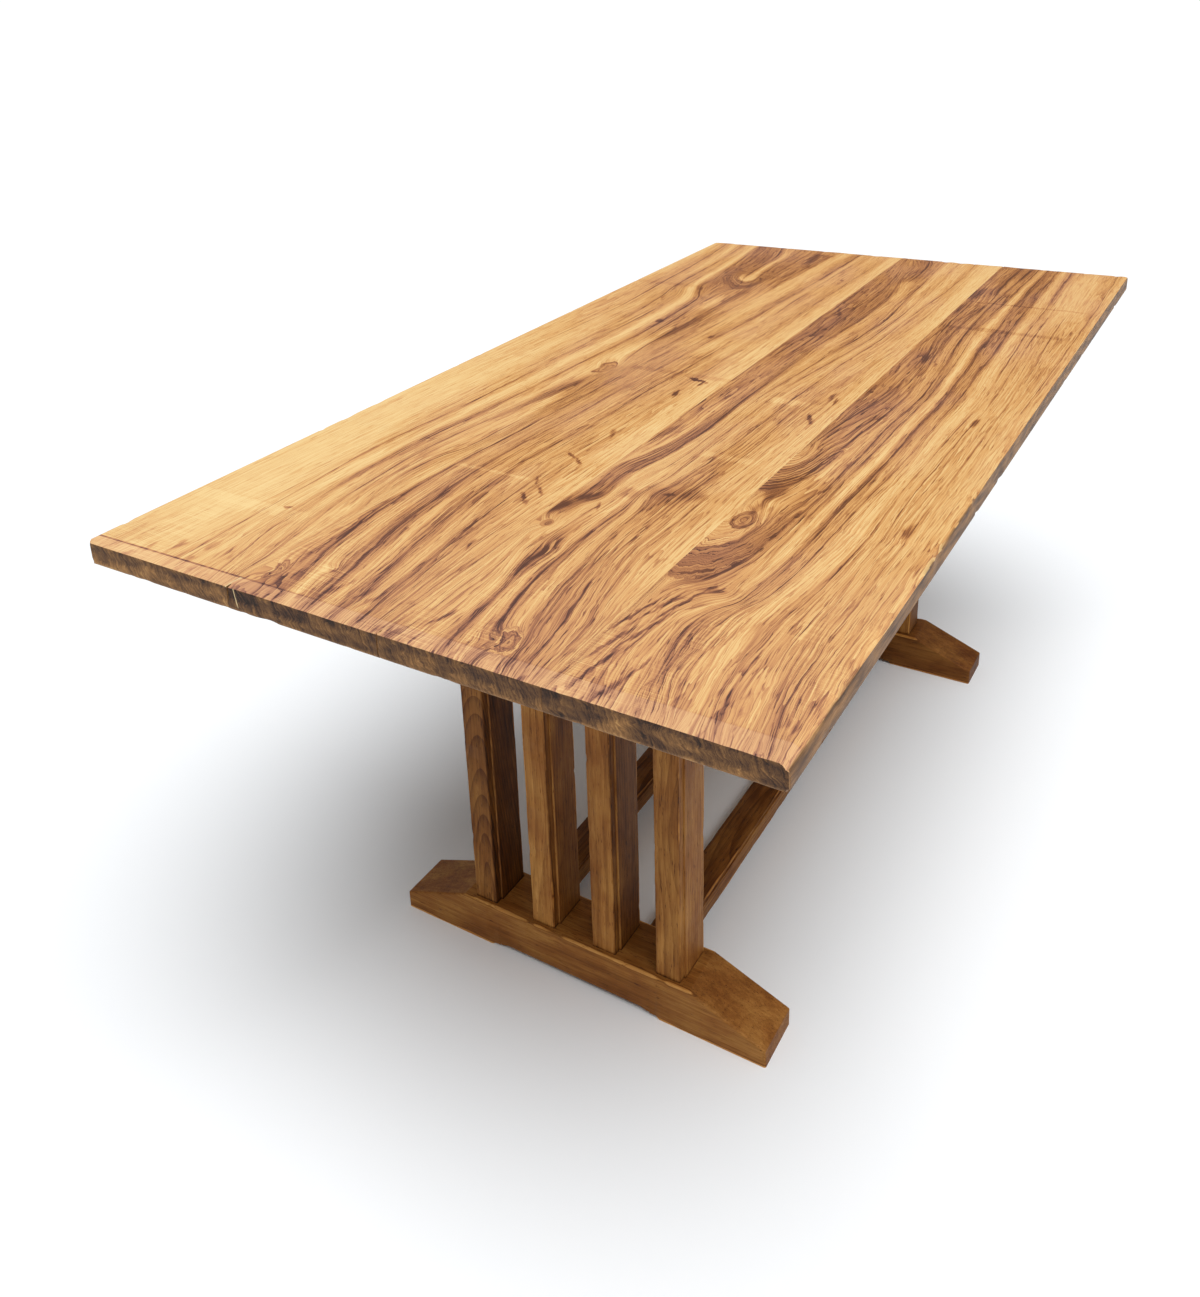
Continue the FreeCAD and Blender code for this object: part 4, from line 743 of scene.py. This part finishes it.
    roughness = graph.fit(fibres, 0.3, 0.7, 0.48, 0.62) + (strip | end_face) * 0.16
    height = dashes * -0.6 + fibres * 0.5 + end_face * fibre_ends * 1.5
    graph.surface(colour, roughness, 0.3, height)
    return material


# ---------------------------------------------------------------- wood of the trestles

def near_side(graph, offset, half, ragged):
    """1 at an outer side of a bar, given from the bar's middle, and 0 a little way inwards."""
    return graph.fit(abs(offset) + ragged, half - ARRIS_MARGIN, half)


def trestle_wood(name, grain, seed):
    """Stained and waxed wood: ring lines cut from an off-centre pith, fibres and pores along the grain."""
    look = dict(PLAIN_LOOK, **PIECE_LOOKS.get(name, {}))
    low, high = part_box(name)
    centre = (low + high) / 2
    halves = (high - low) / 2 / MM
    order = {"x": (0, 1, 2), "y": (1, 0, 2), "z": (2, 1, 0)}[grain]
    material, graph = new_material(name + "_wood", TRESTLE_GRAIN, seed)
    facing = graph.split(graph.coordinates("Normal"))
    from_middle = graph.vector_math("SUBTRACT", graph.coordinates("Object"), centre)
    parts = graph.split(graph.vector_math("MULTIPLY", from_middle, MM_PER_METRE))
    length, wide, deep = (parts[axis] for axis in order)
    drift = graph.noise(graph.join(length * look["drift_scale"], seed, 0.0), detail=1.0)
    sway = graph.grain("sway", length, wide)
    pith_deep = deep + look["pith_deep"] + drift * look["drift"] + length * look["lean"]
    pith_wide = wide + look["pith_wide"] + sway * look["sway"]
    radius = (pith_wide * pith_wide + pith_deep * pith_deep) ** 0.5
    for at_length, at_wide, half_length, half_width, lift in look["knots"]:
        out = graph.way_out(length, wide, (at_length, at_wide), (half_length, half_width))
        radius += 0.5 ** (out * out) * lift
    growth = graph.rings("drift", length, radius, 0.16, 3.0, 2.2)
    bands = graph.grain("bands", length, radius)
    streaks = graph.grain("streaks", length, wide, deep)
    fibres = graph.grain("fibres", length, wide, deep)
    patches = graph.grain("patches", length, wide, deep)
    flecks = graph.fit(graph.grain("pores", length, wide, deep), 0.62, 0.69, smooth=True)
    # painted shade: the side that faces -Y is darkened in colour, as if it lay in shade
    inner = graph.fit(facing[1] * -1.0, 0.5, 0.9, 0.0, look["painted_side_shade"])
    tone = inner + (look["shade"] - look["contrast"] * 0.3) + growth * look["contrast"]
    tone += (bands - 0.5) * 0.2
    tone += (streaks - 0.5) * 0.4
    tone += (fibres - 0.5) * 0.32
    tone += (patches - 0.5) * 0.56
    tone += flecks * 0.3
    for at_length, at_wide, half_length, half_width, lift in look["knots"]:
        out = graph.way_out(length, wide, (at_length, at_wide), (half_length * 0.3, half_width * 0.35))
        tone += graph.fit(out, 1.3, 0.6, smooth=True) * 0.3

    # the arrises are rubbed pale, in places more than in others, with a darker band beside the rubbed wood
    ragged = graph.fit(patches, 0.32, 0.68, -1.9, 1.5)
    close = near_side(graph, wide, halves[order[1]], ragged) * near_side(graph, deep, halves[order[2]], ragged)
    wear = graph.fit(close, 0.14, 0.5, smooth=True)
    tone += graph.fit(close, 0.0, 0.06) * 0.12
    tone -= wear * 0.48

    # painted contact shadow darkens a post just above where it stands on the foot
    if grain == "z":
        shoulder = POST_SHOULDER - halves[2]
        tone += graph.fit(parts[2], shoulder + 4.5, shoulder + 0.5) * 0.3

    colour = graph.ramp(graph.clamp(tone), TRESTLE_TONES)
    colour = graph.mix(graph.fit(patches, 0.35, 0.65, 0.0, 0.35), colour, srgb(*WARM_CAST), "MULTIPLY")
    graph.surface(colour, graph.fit(fibres, 0.3, 0.7, 0.44, 0.6), 0.12, fibres - flecks)
    return material


def tongue_wood():
    material, graph = new_material("tongue_plywood")
    place = graph.add("ShaderNodeMapping", {0: graph.coordinates("Object"), 3: PLY_SCALE})
    layers = graph.noise(place)
    graph.surface(graph.ramp(layers, PLYWOOD_TONES), graph.fit(layers, 0.3, 0.7, 0.6, 0.75))
    return material


def zinc_plate():
    material, graph = new_material("zinc_plate")
    mottle = graph.noise(graph.coordinates("Object"), scale=900.0, detail=3.0)
    shader = graph.surface(graph.ramp(mottle, ZINC_TONES), graph.fit(mottle, 0.3, 0.7, 0.28, 0.46))
    shader.inputs["Metallic"].default_value = 1.0
    return material


def dress(thing, material):
    thing.data.materials.clear()
    thing.data.materials.append(material)


# ---------------------------------------------------------------- worn shapes

def select_only(*things):
    """Selects these pieces and nothing else, with the first as the active one."""
    bpy.ops.object.select_all(action="DESELECT")
    for thing in things:
        thing.select_set(True)
    bpy.context.view_layer.objects.active = things[0]


def modify(kind, **settings):
    """Adds a modifier to the active piece with these settings, and applies it."""
    bpy.ops.object.modifier_add(type=kind)
    modifier = bpy.context.object.modifiers[-1]
    for name, value in settings.items():
        setattr(modifier, name, value)
    bpy.ops.object.modifier_apply(modifier=modifier.name)


def merged_copy(node):
    """A copy of a CAD piece with its flat faces whole, left open in edit mode."""
    select_only(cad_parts[node])
    bpy.ops.object.duplicate()
    piece = bpy.context.object
    piece.name = node + "_worn"
    bpy.ops.object.mode_set(mode="EDIT")
    bpy.ops.mesh.select_all(action="SELECT")
    bpy.ops.mesh.customdata_custom_splitnormals_clear()
    bpy.ops.mesh.remove_doubles(threshold=0.01 * MM)
    bpy.ops.mesh.dissolve_limited(angle_limit=FLAT_ANGLE)
    return piece


def pare(place, outwards):
    """Takes off all that lies outside a plane, as a worn facet. The place is in millimetres."""
    bpy.ops.mesh.select_all(action="SELECT")
    bpy.ops.mesh.bisect(plane_co=Vector(place) * MM, plane_no=outwards, clear_outer=True, use_fill=True)


def cut_every(piece, axis, first, last, spacing, zone=None):
    """Cuts the faces square to an axis at even steps, in millimetres; zone picks the faces by their middle."""
    normal = Vector([float(index == axis) for index in range(3)])
    steps = max(1, round((last - first) / spacing))
    for step in range(steps + 1):
        bpy.ops.mesh.select_all(action="DESELECT" if zone else "SELECT")
        if zone:
            for face in bmesh.from_edit_mesh(piece.data).faces:
                if zone(face.calc_center_median() / MM):
                    face.select_set(True)
            bmesh.update_edit_mesh(piece.data)
        place = first + (last - first) * step / steps
        bpy.ops.mesh.bisect(plane_co=normal * place * MM, plane_no=normal)


def hold_flats(piece, low, high, margin, axes=(0, 1, 2)):
    """Cuts the faces beside each outer side, so that a worn arris leaves the flat between them true."""
    for axis in axes:
        cut_every(piece, axis, low[axis] + margin, high[axis] - margin, high[axis] - low[axis])


def gather_arrises(piece, weight):
    """A vertex group of the outward arrises. The weight of each comes from its middle, in millimetres."""
    group = piece.vertex_groups.new(name="arrises")
    mesh = bmesh.from_edit_mesh(piece.data)
    layer = mesh.verts.layers.deform.verify()
    for edge in mesh.edges:
        if edge.is_convex and edge.calc_face_angle(0.0) > ARRIS_ANGLE:
            share = weight((edge.verts[0].co + edge.verts[1].co) / 2 / MM)
            for vert in edge.verts:
                if share > 0.0:
                    vert[layer][group.index] = max(share, vert[layer].get(group.index, 0.0))
    bmesh.update_edit_mesh(piece.data)


def gather_dents(piece, dents):
    """A vertex group of round dents, each (place, radius, share of the depth) in millimetres."""
    group = piece.vertex_groups.new(name="dents")
    mesh = bmesh.from_edit_mesh(piece.data)
    layer = mesh.verts.layers.deform.verify()
    for place, radius, depth in dents:
        for vert in mesh.verts:
            near = 1.0 - (vert.co / MM - Vector(place)).length_squared / radius ** 2
            if near > 0.0:
                vert[layer][group.index] = max(near * depth, vert[layer].get(group.index, 0.0))
    bmesh.update_edit_mesh(piece.data)


def press_in(group, depth, texture=None):
    """Moves a vertex group inwards by up to a depth in millimetres, evenly or in the pattern of a texture."""
    strength, level = (depth, 1.0) if texture else (-depth, 0.0)
    modify("DISPLACE", vertex_group=group, texture=texture, texture_coords="LOCAL", strength=strength * MM,
           mid_level=level)


def clouds(name, size, contrast=1.0, brightness=1.0):
    texture = bpy.data.textures.get(name) or bpy.data.textures.new(name, "CLOUDS")
    texture.noise_scale = size
    texture.noise_depth = 2
    texture.contrast = contrast
    texture.intensity = brightness
    texture.use_clamp = True
    return texture


def finish_piece(piece, node, material):
    """Shades a piece, gives it its material and lets it stand for its CAD node."""
    bpy.ops.object.shade_smooth_by_angle(angle=SMOOTH_ANGLE)
    dress(piece, material)
    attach(piece, "root")
    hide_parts(node)


def wear_down(rub, nick, dent):
    """Rubs, waves and nicks the gathered arrises by depths in millimetres, and presses in the dents."""
    bpy.ops.object.mode_set(mode="OBJECT")
    press_in("arrises", rub, clouds("rubbed", 0.07))
    press_in("arrises", nick, clouds("nicked", 0.03, contrast=3.0, brightness=1.4))
    press_in("dents", dent)


def worn_board(node, seed):
    """A board of the top with rubbed outer arrises, nicked ends and its own worn places."""
    piece = merged_copy(node)
    low, high = (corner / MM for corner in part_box(node))
    for place, outwards in PARED_FACETS.get(node, ()):
        pare(place, outwards)
    end_zone = HALF_LENGTH - END_ZONE
    outer = max(abs(low.y), abs(high.y)) > HALF_WIDTH - 1.0

    # the flats are cut free of what will be worn, the edges at two heights, and then all of it into small steps
    top_corner = Vector((HALF_LENGTH, HALF_WIDTH, 0.0))
    cut_every(piece, 0, -end_zone, end_zone, HALF_LENGTH * 2)
    hold_flats(piece, -top_corner, top_corner, BOARD_MARGIN, (0, 1))
    cut_every(piece, 2, *EDGE_CUTS, EDGE_CUTS[1] - EDGE_CUTS[0])
    cut_every(piece, 1, low.y + 4.0, high.y - 4.0, CUT_STEP, lambda middle: abs(middle.x) > end_zone)
    if outer:
        cut_every(piece, 0, low.x + 3.0, high.x - 3.0, CUT_STEP)
    else:
        cut_every(piece, 0, low.x + 3.0, -end_zone - CUT_STEP, CUT_STEP)
        cut_every(piece, 0, end_zone + CUT_STEP, high.x - 3.0, CUT_STEP)

    def weight(middle):
        at_end = abs(middle.x) > HALF_LENGTH - 6.5
        at_side = abs(middle.y) > HALF_WIDTH - 14.0
        by_seam = not at_side and min(middle.y - low.y, high.y - middle.y) < 1.5
        return 1.0 if (at_end or at_side) and not by_seam else 0.0

    dice = random.Random(seed)
    dents = list(BOARD_DENTS.get(node, ()))
    for end in (-1.0, 1.0):
        for _ in range(END_DENTS):
            place_across, below = dice.uniform(low.y + 8.0, high.y - 8.0), dice.choice((0.0, LOWER_ARRIS))
            place = (end * (HALF_LENGTH - 1.0), place_across, TOP_HEIGHT - below)
            dents.append((place, dice.uniform(*DENT_RADII), dice.uniform(0.1, 0.3 if below else 0.7)))
    if outer:
        side = math.copysign(HALF_WIDTH, low.y + high.y)
        for _ in range(SIDE_DENTS):
            place = (dice.uniform(-880.0, 880.0), side, TOP_HEIGHT - dice.choice((0.0, 0.0, LOWER_ARRIS)))
            dents.append((place, dice.uniform(5.0, 16.0), dice.uniform(0.15, 0.6)))
    gather_arrises(piece, weight)
    gather_dents(piece, dents)
    wear_down(*BOARD_WEAR)
    finish_piece(piece, node, top_wood(node, 10.0 * seed))


def worn_bar(node, axis, spacing, weight, wear, dent_places, seed, extra_cuts=()):
    """A foot, post, bearer or stretcher, cut along its length and worn on the arrises that the weight picks."""
    piece = merged_copy(node)
    low, high = (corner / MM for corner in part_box(node))
    hold_flats(piece, low, high, ARRIS_MARGIN)
    for place, normal in extra_cuts:
        bpy.ops.mesh.select_all(action="SELECT")
        bpy.ops.mesh.bisect(plane_co=((low + high) / 2 + Vector(place)) * MM, plane_no=normal)
    cut_every(piece, axis, low[axis] + spacing, high[axis] - spacing, spacing)
    gather_arrises(piece, lambda middle: weight(middle - (low + high) / 2, (high - low) / 2))
    dice = random.Random(seed)
    places = dent_places(dice, low, high)
    gather_dents(piece, [(place, dice.uniform(*DENT_RADII), dice.uniform(0.2, 0.8)) for place in places])
    wear_down(*wear)
    finish_piece(piece, node, trestle_wood(node, "xyz"[axis], seed))


def fade_in(clear):
    """0 up to a millimetre clear of a shoulder, and 1 from 13 mm on."""
    return max(0.0, min(1.0, (clear - 1.0) / 12.0))


def outer_arris(offset, half, depth):
    """Whether a point lies within a depth of two outer sides of a bar, given from the bar's middle."""
    return abs(offset[0]) > half[0] - depth and abs(offset[1]) > half[1] - depth


def post_weight(offset, half):
    """1 on a post's outer corner arrises between the foot and the bearer, fading just above and below them."""
    return fade_in(half.z - POST_SHOULDER - abs(offset.z)) if outer_arris(offset, half, 14.0) else 0.0


def foot_weight(offset, half):
    """1 on a foot's outer arrises, and 0 round the mortises and on the sole."""
    mortised = abs(offset.z) < half.z - ARRIS_MARGIN and abs(offset.y) < 160.0
    side = abs(offset.x) > half.x - ARRIS_MARGIN and not mortised
    toe = abs(offset.y) > half.y - 6.0 or (abs(offset.y) > 180.0 and offset.z > -half.z + 4.0)
    return 1.0 if (side or toe) and offset.z > -half.z + 2.0 else 0.0


def bearer_weight(offset, half):
    """1 on a bearer's lower arrises and at its ends, and 0 where it meets the top and round its bores."""
    outside = abs(offset.y) > half.y - 30.0 or abs(offset.x) > half.x - ARRIS_MARGIN
    return 1.0 if outside and offset.z < half.z - 3.0 else 0.0


def stretcher_weight(offset, half):
    """1 on the arrises of a stretcher between the feet, fading beside them."""
    return fade_in(half.x - STRETCHER_TENON - abs(offset.x)) if abs(offset.y) > half.y - 7.0 else 0.0


def post_dents(dice, low, high):
    """Dents on the front and side arrises of a post."""
    return [(dice.choice((low.x, high.x)), dice.choice((low.y, high.y)), dice.uniform(low.z + 50.0, high.z - 50.0))
            for _ in range(BAR_DENTS)]


def foot_dents(dice, low, high):
    """Dents on the upper arrises and the toes of a foot."""
    along_top = [(dice.choice((low.x, high.x)), dice.uniform(-180.0, 180.0), high.z) for _ in range(BAR_DENTS)]
    toes = [(dice.uniform(low.x, high.x), dice.choice((low.y, high.y)), dice.uniform(6.0, 28.0))
            for _ in range(TOE_DENTS)]
    return along_top + toes


def bar_dents(dice, low, high):
    """Dents on the long arrises of a bearer or stretcher."""
    return [tuple(dice.choice((low[axis], high[axis])) if high[axis] - low[axis] < 100.0
                  else dice.uniform(low[axis] + 40.0, high[axis] - 40.0) for axis in range(3))
            for _ in range(BAR_DENTS)]


# ---------------------------------------------------------------- screws and washers

def in_edit_mode(thing, test):
    """Opens a piece in edit mode with only the faces selected whose middle and normal pass a test."""
    bpy.ops.object.mode_set(mode="EDIT")
    bpy.ops.mesh.select_all(action="DESELECT")
    for face in bmesh.from_edit_mesh(thing.data).faces:
        if test(face.calc_center_median() / MM, face.normal):
            face.select_set(True)
    bmesh.update_edit_mesh(thing.data)


def cylinder(sides, radius, bottom, top, turn=0.0):
    """A cylinder round the Z axis between two heights, in millimetres."""
    bpy.ops.mesh.primitive_cylinder_add(vertices=sides, radius=radius * MM, depth=(top - bottom) * MM,
                                        location=(0, 0, (top + bottom) / 2 * MM), rotation=(0, 0, turn))
    bpy.ops.object.transform_apply()
    return bpy.context.object


def screw_head():
    """A hexagon head with its lower corners turned off and a shallow flat boss, standing under its washer."""
    head = cylinder(6, HEAD_FLATS / math.sqrt(3), UNDER_WASHER - HEAD_HEIGHT, UNDER_WASHER, math.radians(30))
    in_edit_mode(head, lambda middle, normal: normal.z < -0.9)
    for inset, lift in HEAD_STEPS:
        bpy.ops.mesh.inset(thickness=inset * MM)
        bpy.ops.transform.translate(value=(0, 0, lift * MM))
    bpy.ops.object.mode_set(mode="OBJECT")
    modify("BEVEL", width=0.25 * MM, segments=2)
    return head


def screw_shank():
    """A smooth neck, a rolled thread and a point: one turn of the thread's outline is swept up the shank."""
    radius, root, pitch = SHANK_RADIUS * MM, SHANK_RADIUS * 0.7 * MM, THREAD_PITCH * MM
    top, tip = (UNDER_WASHER + NECK) * MM, (UNDER_WASHER + SCREW_LENGTH) * MM
    neck = cylinder(24, SHANK_RADIUS * 0.98, UNDER_WASHER - 1.0, UNDER_WASHER + NECK)
    in_edit_mode(neck, lambda middle, normal: normal.z > 0.9)
    bpy.ops.mesh.inset(thickness=radius * 0.3)
    for rise in (tip - top - POINT * MM, POINT * MM):
        bpy.ops.mesh.extrude_region_move(TRANSFORM_OT_translate={"value": (0, 0, rise)})
    bpy.ops.transform.resize(value=(0.25, 0.25, 1.0))
    bpy.ops.object.mode_set(mode="OBJECT")

    # the outline is a small plane stood on its edge at the root of the thread, narrowed on its outer side
    outline = (root, 0, top + pitch)
    bpy.ops.mesh.primitive_plane_add(size=pitch * 0.9, location=outline)
    bpy.ops.object.transform_apply()
    thread = bpy.context.object
    bpy.ops.object.mode_set(mode="EDIT")
    bpy.ops.transform.rotate(value=math.radians(90), orient_axis="X", center_override=outline)
    mesh = bmesh.from_edit_mesh(thread.data)
    for vert in mesh.verts:
        vert.select_set(vert.co.x > root)
    mesh.select_flush(False)
    bmesh.update_edit_mesh(thread.data)
    bpy.ops.transform.resize(value=(1.0, 1.0, 0.15), center_override=outline)
    bpy.ops.mesh.select_all(action="SELECT")
    bpy.ops.transform.translate(value=(radius - root - pitch * 0.45, 0, 0))
    bpy.ops.object.mode_set(mode="OBJECT")
    turns = math.floor((tip - top) / pitch) - 3
    modify("SCREW", axis="Z", steps=20, render_steps=20, screw_offset=pitch, iterations=turns)
    bpy.ops.object.mode_set(mode="EDIT")
    bpy.ops.mesh.select_all(action="SELECT")
    bpy.ops.mesh.remove_doubles(threshold=0.001 * MM)
    bpy.ops.mesh.fill_holes(sides=0)
    bpy.ops.mesh.normals_make_consistent(inside=False)
    bpy.ops.object.mode_set(mode="OBJECT")
    return neck, thread


def washer():
    """A pressed washer: a disc with its hole drawn through and its rims rounded."""
    ring = cylinder(48, WASHER_RADIUS, UNDER_WASHER, SEAT)
    in_edit_mode(ring, lambda middle, normal: abs(normal.z) > 0.9)
    bpy.ops.mesh.inset(thickness=(WASHER_RADIUS - WASHER_HOLE) * MM)
    bpy.ops.mesh.bridge_edge_loops()
    bpy.ops.object.mode_set(mode="OBJECT")
    modify("BEVEL", width=0.3 * MM, segments=3)
    return ring


def join(pieces, name):
    select_only(*pieces)
    bpy.ops.object.join()
    pieces[0].name = name
    return pieces[0]


def set_out(pattern, places, name):
    """Copies a finished fastening to its places and joins the copies."""
    pieces = []
    for x, y in places:
        select_only(pattern)
        bpy.ops.object.duplicate()
        bpy.context.object.location = (x * MM, y * MM, 0)
        bpy.ops.object.transform_apply()
        pieces.append(bpy.context.object)
    return join(pieces, name)


# ---------------------------------------------------------------- settings

class TableStageSettings(bpy.types.PropertyGroup):
    floor_size: bpy.props.FloatProperty(
        name="Floor size", description="Side of the square floor", default=600.0, unit="LENGTH")
    floor_colour: bpy.props.FloatVectorProperty(
        name="Floor colour", description="Colour of the plain floor", default=(0.95, 0.975, 1.0), subtype="COLOR")
    sky_strength: bpy.props.FloatProperty(
        name="Sky strength", description="Strength of the even light all round", default=0.25)
    sun_strength: bpy.props.FloatProperty(
        name="Overhead strength", description="Strength of the soft light from above", default=2.9)
    sun_spread: bpy.props.FloatProperty(
        name="Overhead spread", description="Width of the soft light from above", default=math.radians(48),
        subtype="ANGLE")
    sun_turn: bpy.props.FloatVectorProperty(
        name="Overhead turn", description="How the soft light from above is turned", subtype="EULER",
        default=(math.radians(15), math.radians(-13), 0.0))
    camera_place: bpy.props.FloatVectorProperty(
        name="Camera place", description="Where the camera stands", default=(-1.68263, -0.74454, 1.38227),
        subtype="XYZ", unit="LENGTH")
    camera_turn: bpy.props.FloatVectorProperty(
        name="Camera turn", description="How the camera is turned", subtype="EULER",
        default=tuple(math.radians(angle) for angle in (69.2253, 2.2131, -58.2401)))
    focal_length: bpy.props.FloatProperty(
        name="Focal length", description="Focal length of the lens, in millimetres", default=33.161)
    shift: bpy.props.FloatVectorProperty(
        name="Lens shift", description="Sideways and upward shift of the picture", default=(0.02657, -0.1747), size=2)


class TABLE_OT_camera(bpy.types.Operator):
    """Sets up the camera at the near right corner of the table"""
    bl_idname = "table.camera"
    bl_label = "Camera"

    def execute(self, context):
        settings = context.scene.table_stage
        bpy.ops.object.camera_add(location=settings.camera_place, rotation=settings.camera_turn)
        camera = context.object
        camera.name = "table_camera"
        camera.data.lens = settings.focal_length
        camera.data.sensor_width = 36.0
        camera.data.shift_x, camera.data.shift_y = settings.shift
        camera.data.clip_end = 1000.0
        context.scene.camera = camera
        return {"FINISHED"}


class TABLE_OT_stage(bpy.types.Operator):
    """Lays the plain pale floor and sets the soft light"""
    bl_idname = "table.stage"
    bl_label = "Floor and light"

    def execute(self, context):
        settings = context.scene.table_stage
        bpy.ops.mesh.primitive_plane_add(size=settings.floor_size)
        floor = context.object
        floor.name = "stage_floor"
        paint, graph = new_material("stage_floor_paint")
        graph.surface((*settings.floor_colour, 1.0), 0.9, 0.1)
        floor.data.materials.append(paint)

        world = bpy.data.worlds.new("studio_sky")
        world.use_nodes = True
        graph = Graph(world.node_tree)
        sky = world.node_tree.nodes["Background"]
        sky.inputs["Color"].default_value = (1.0, 1.0, 1.0, 1.0)
        seen = graph.add("ShaderNodeLightPath", output="Is Camera Ray")
        graph.feed(sky.inputs["Strength"], graph.fit(seen, 0.0, 1.0, settings.sky_strength, 1.0))
        context.scene.world = world

        bpy.ops.object.light_add(type="SUN", location=(-0.6, 0.4, 4.0), rotation=settings.sun_turn)
        sun = context.object
        sun.name = "overhead_light"
        sun.data.energy = settings.sun_strength
        sun.data.angle = settings.sun_spread
        context.scene.view_settings.view_transform = "Standard"
        return {"FINISHED"}


class TABLE_OT_top_boards(bpy.types.Operator):
    """Dresses the four boards of the top"""
    bl_idname = "table.top_boards"
    bl_label = "Top boards"

    def execute(self, context):
        for seed, board in enumerate(TOP_BOARDS):
            worn_board(board, seed + 1)
        return {"FINISHED"}


class TABLE_OT_trestles(bpy.types.Operator):
    """Dresses the feet, posts, bearers and stretchers"""
    bl_idname = "table.trestles"
    bl_label = "Trestles"

    def execute(self, context):
        seed = 1.0
        for end in ENDS:
            worn_bar(f"{end}_foot", 1, CUT_STEP, foot_weight, FOOT_WEAR, foot_dents, seed, TOE_CUTS)
            worn_bar(f"{end}_bearer", 1, 8.0, bearer_weight, BEARER_WEAR, bar_dents, seed + SEED_STEP)
            seed += 2 * SEED_STEP
            for number in POST_NUMBERS:
                worn_bar(f"{end}_post_{number}", 2, CUT_STEP, post_weight, BAR_WEAR, post_dents, seed)
                seed += SEED_STEP
        for node in STRETCHERS:
            worn_bar(node, 0, 6.0, stretcher_weight, BAR_WEAR, bar_dents, seed)
            seed += SEED_STEP
        return {"FINISHED"}


class TABLE_OT_fastenings(bpy.types.Operator):
    """Dresses the seam tongues, the screws and their washers"""
    bl_idname = "table.fastenings"
    bl_label = "Tongues, screws and washers"

    def execute(self, context):
        plywood = tongue_wood()
        for node in SEAM_TONGUES:
            dress(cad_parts[node], plywood)
        zinc = zinc_plate()
        screw = join([screw_head(), *screw_shank()], "screw_pattern")
        ring = washer()
        for end, x in zip(ENDS, (-TRESTLE_PLACE, TRESTLE_PLACE)):
            places = [(x, y) for y in SCREW_ROW]
            for pattern, node in ((screw, f"{end}_top_screws"), (ring, f"{end}_screw_washers")):
                finish_piece(set_out(pattern, places, node + "_detailed"), node, zinc)
        select_only(screw, ring)
        bpy.ops.object.delete()
        return {"FINISHED"}


OPERATORS = (TABLE_OT_camera, TABLE_OT_stage, TABLE_OT_top_boards, TABLE_OT_trestles, TABLE_OT_fastenings)


class TABLE_PT_panel(bpy.types.Panel):
    """Lists the steps that dress the table"""
    bl_idname = "TABLE_PT_panel"
    bl_label = "Trestle table"
    bl_space_type = "VIEW_3D"
    bl_region_type = "UI"
    bl_category = "Table"

    def draw(self, context):
        for operator in OPERATORS:
            self.layout.operator(operator.bl_idname)


CLASSES = (TableStageSettings, *OPERATORS, TABLE_PT_panel)


def register():
    for item in CLASSES:
        bpy.utils.register_class(item)
    bpy.types.Scene.table_stage = bpy.props.PointerProperty(type=TableStageSettings)


def unregister():
    del bpy.types.Scene.table_stage
    for item in reversed(CLASSES):
        bpy.utils.unregister_class(item)


def main():
    register()
    bpy.ops.object.select_all(action="DESELECT")
    bpy.ops.table.camera()
    bpy.ops.table.stage()
    bpy.ops.table.top_boards()
    bpy.ops.table.trestles()
    bpy.ops.table.fastenings()


if __name__ == "__main__":
    main()
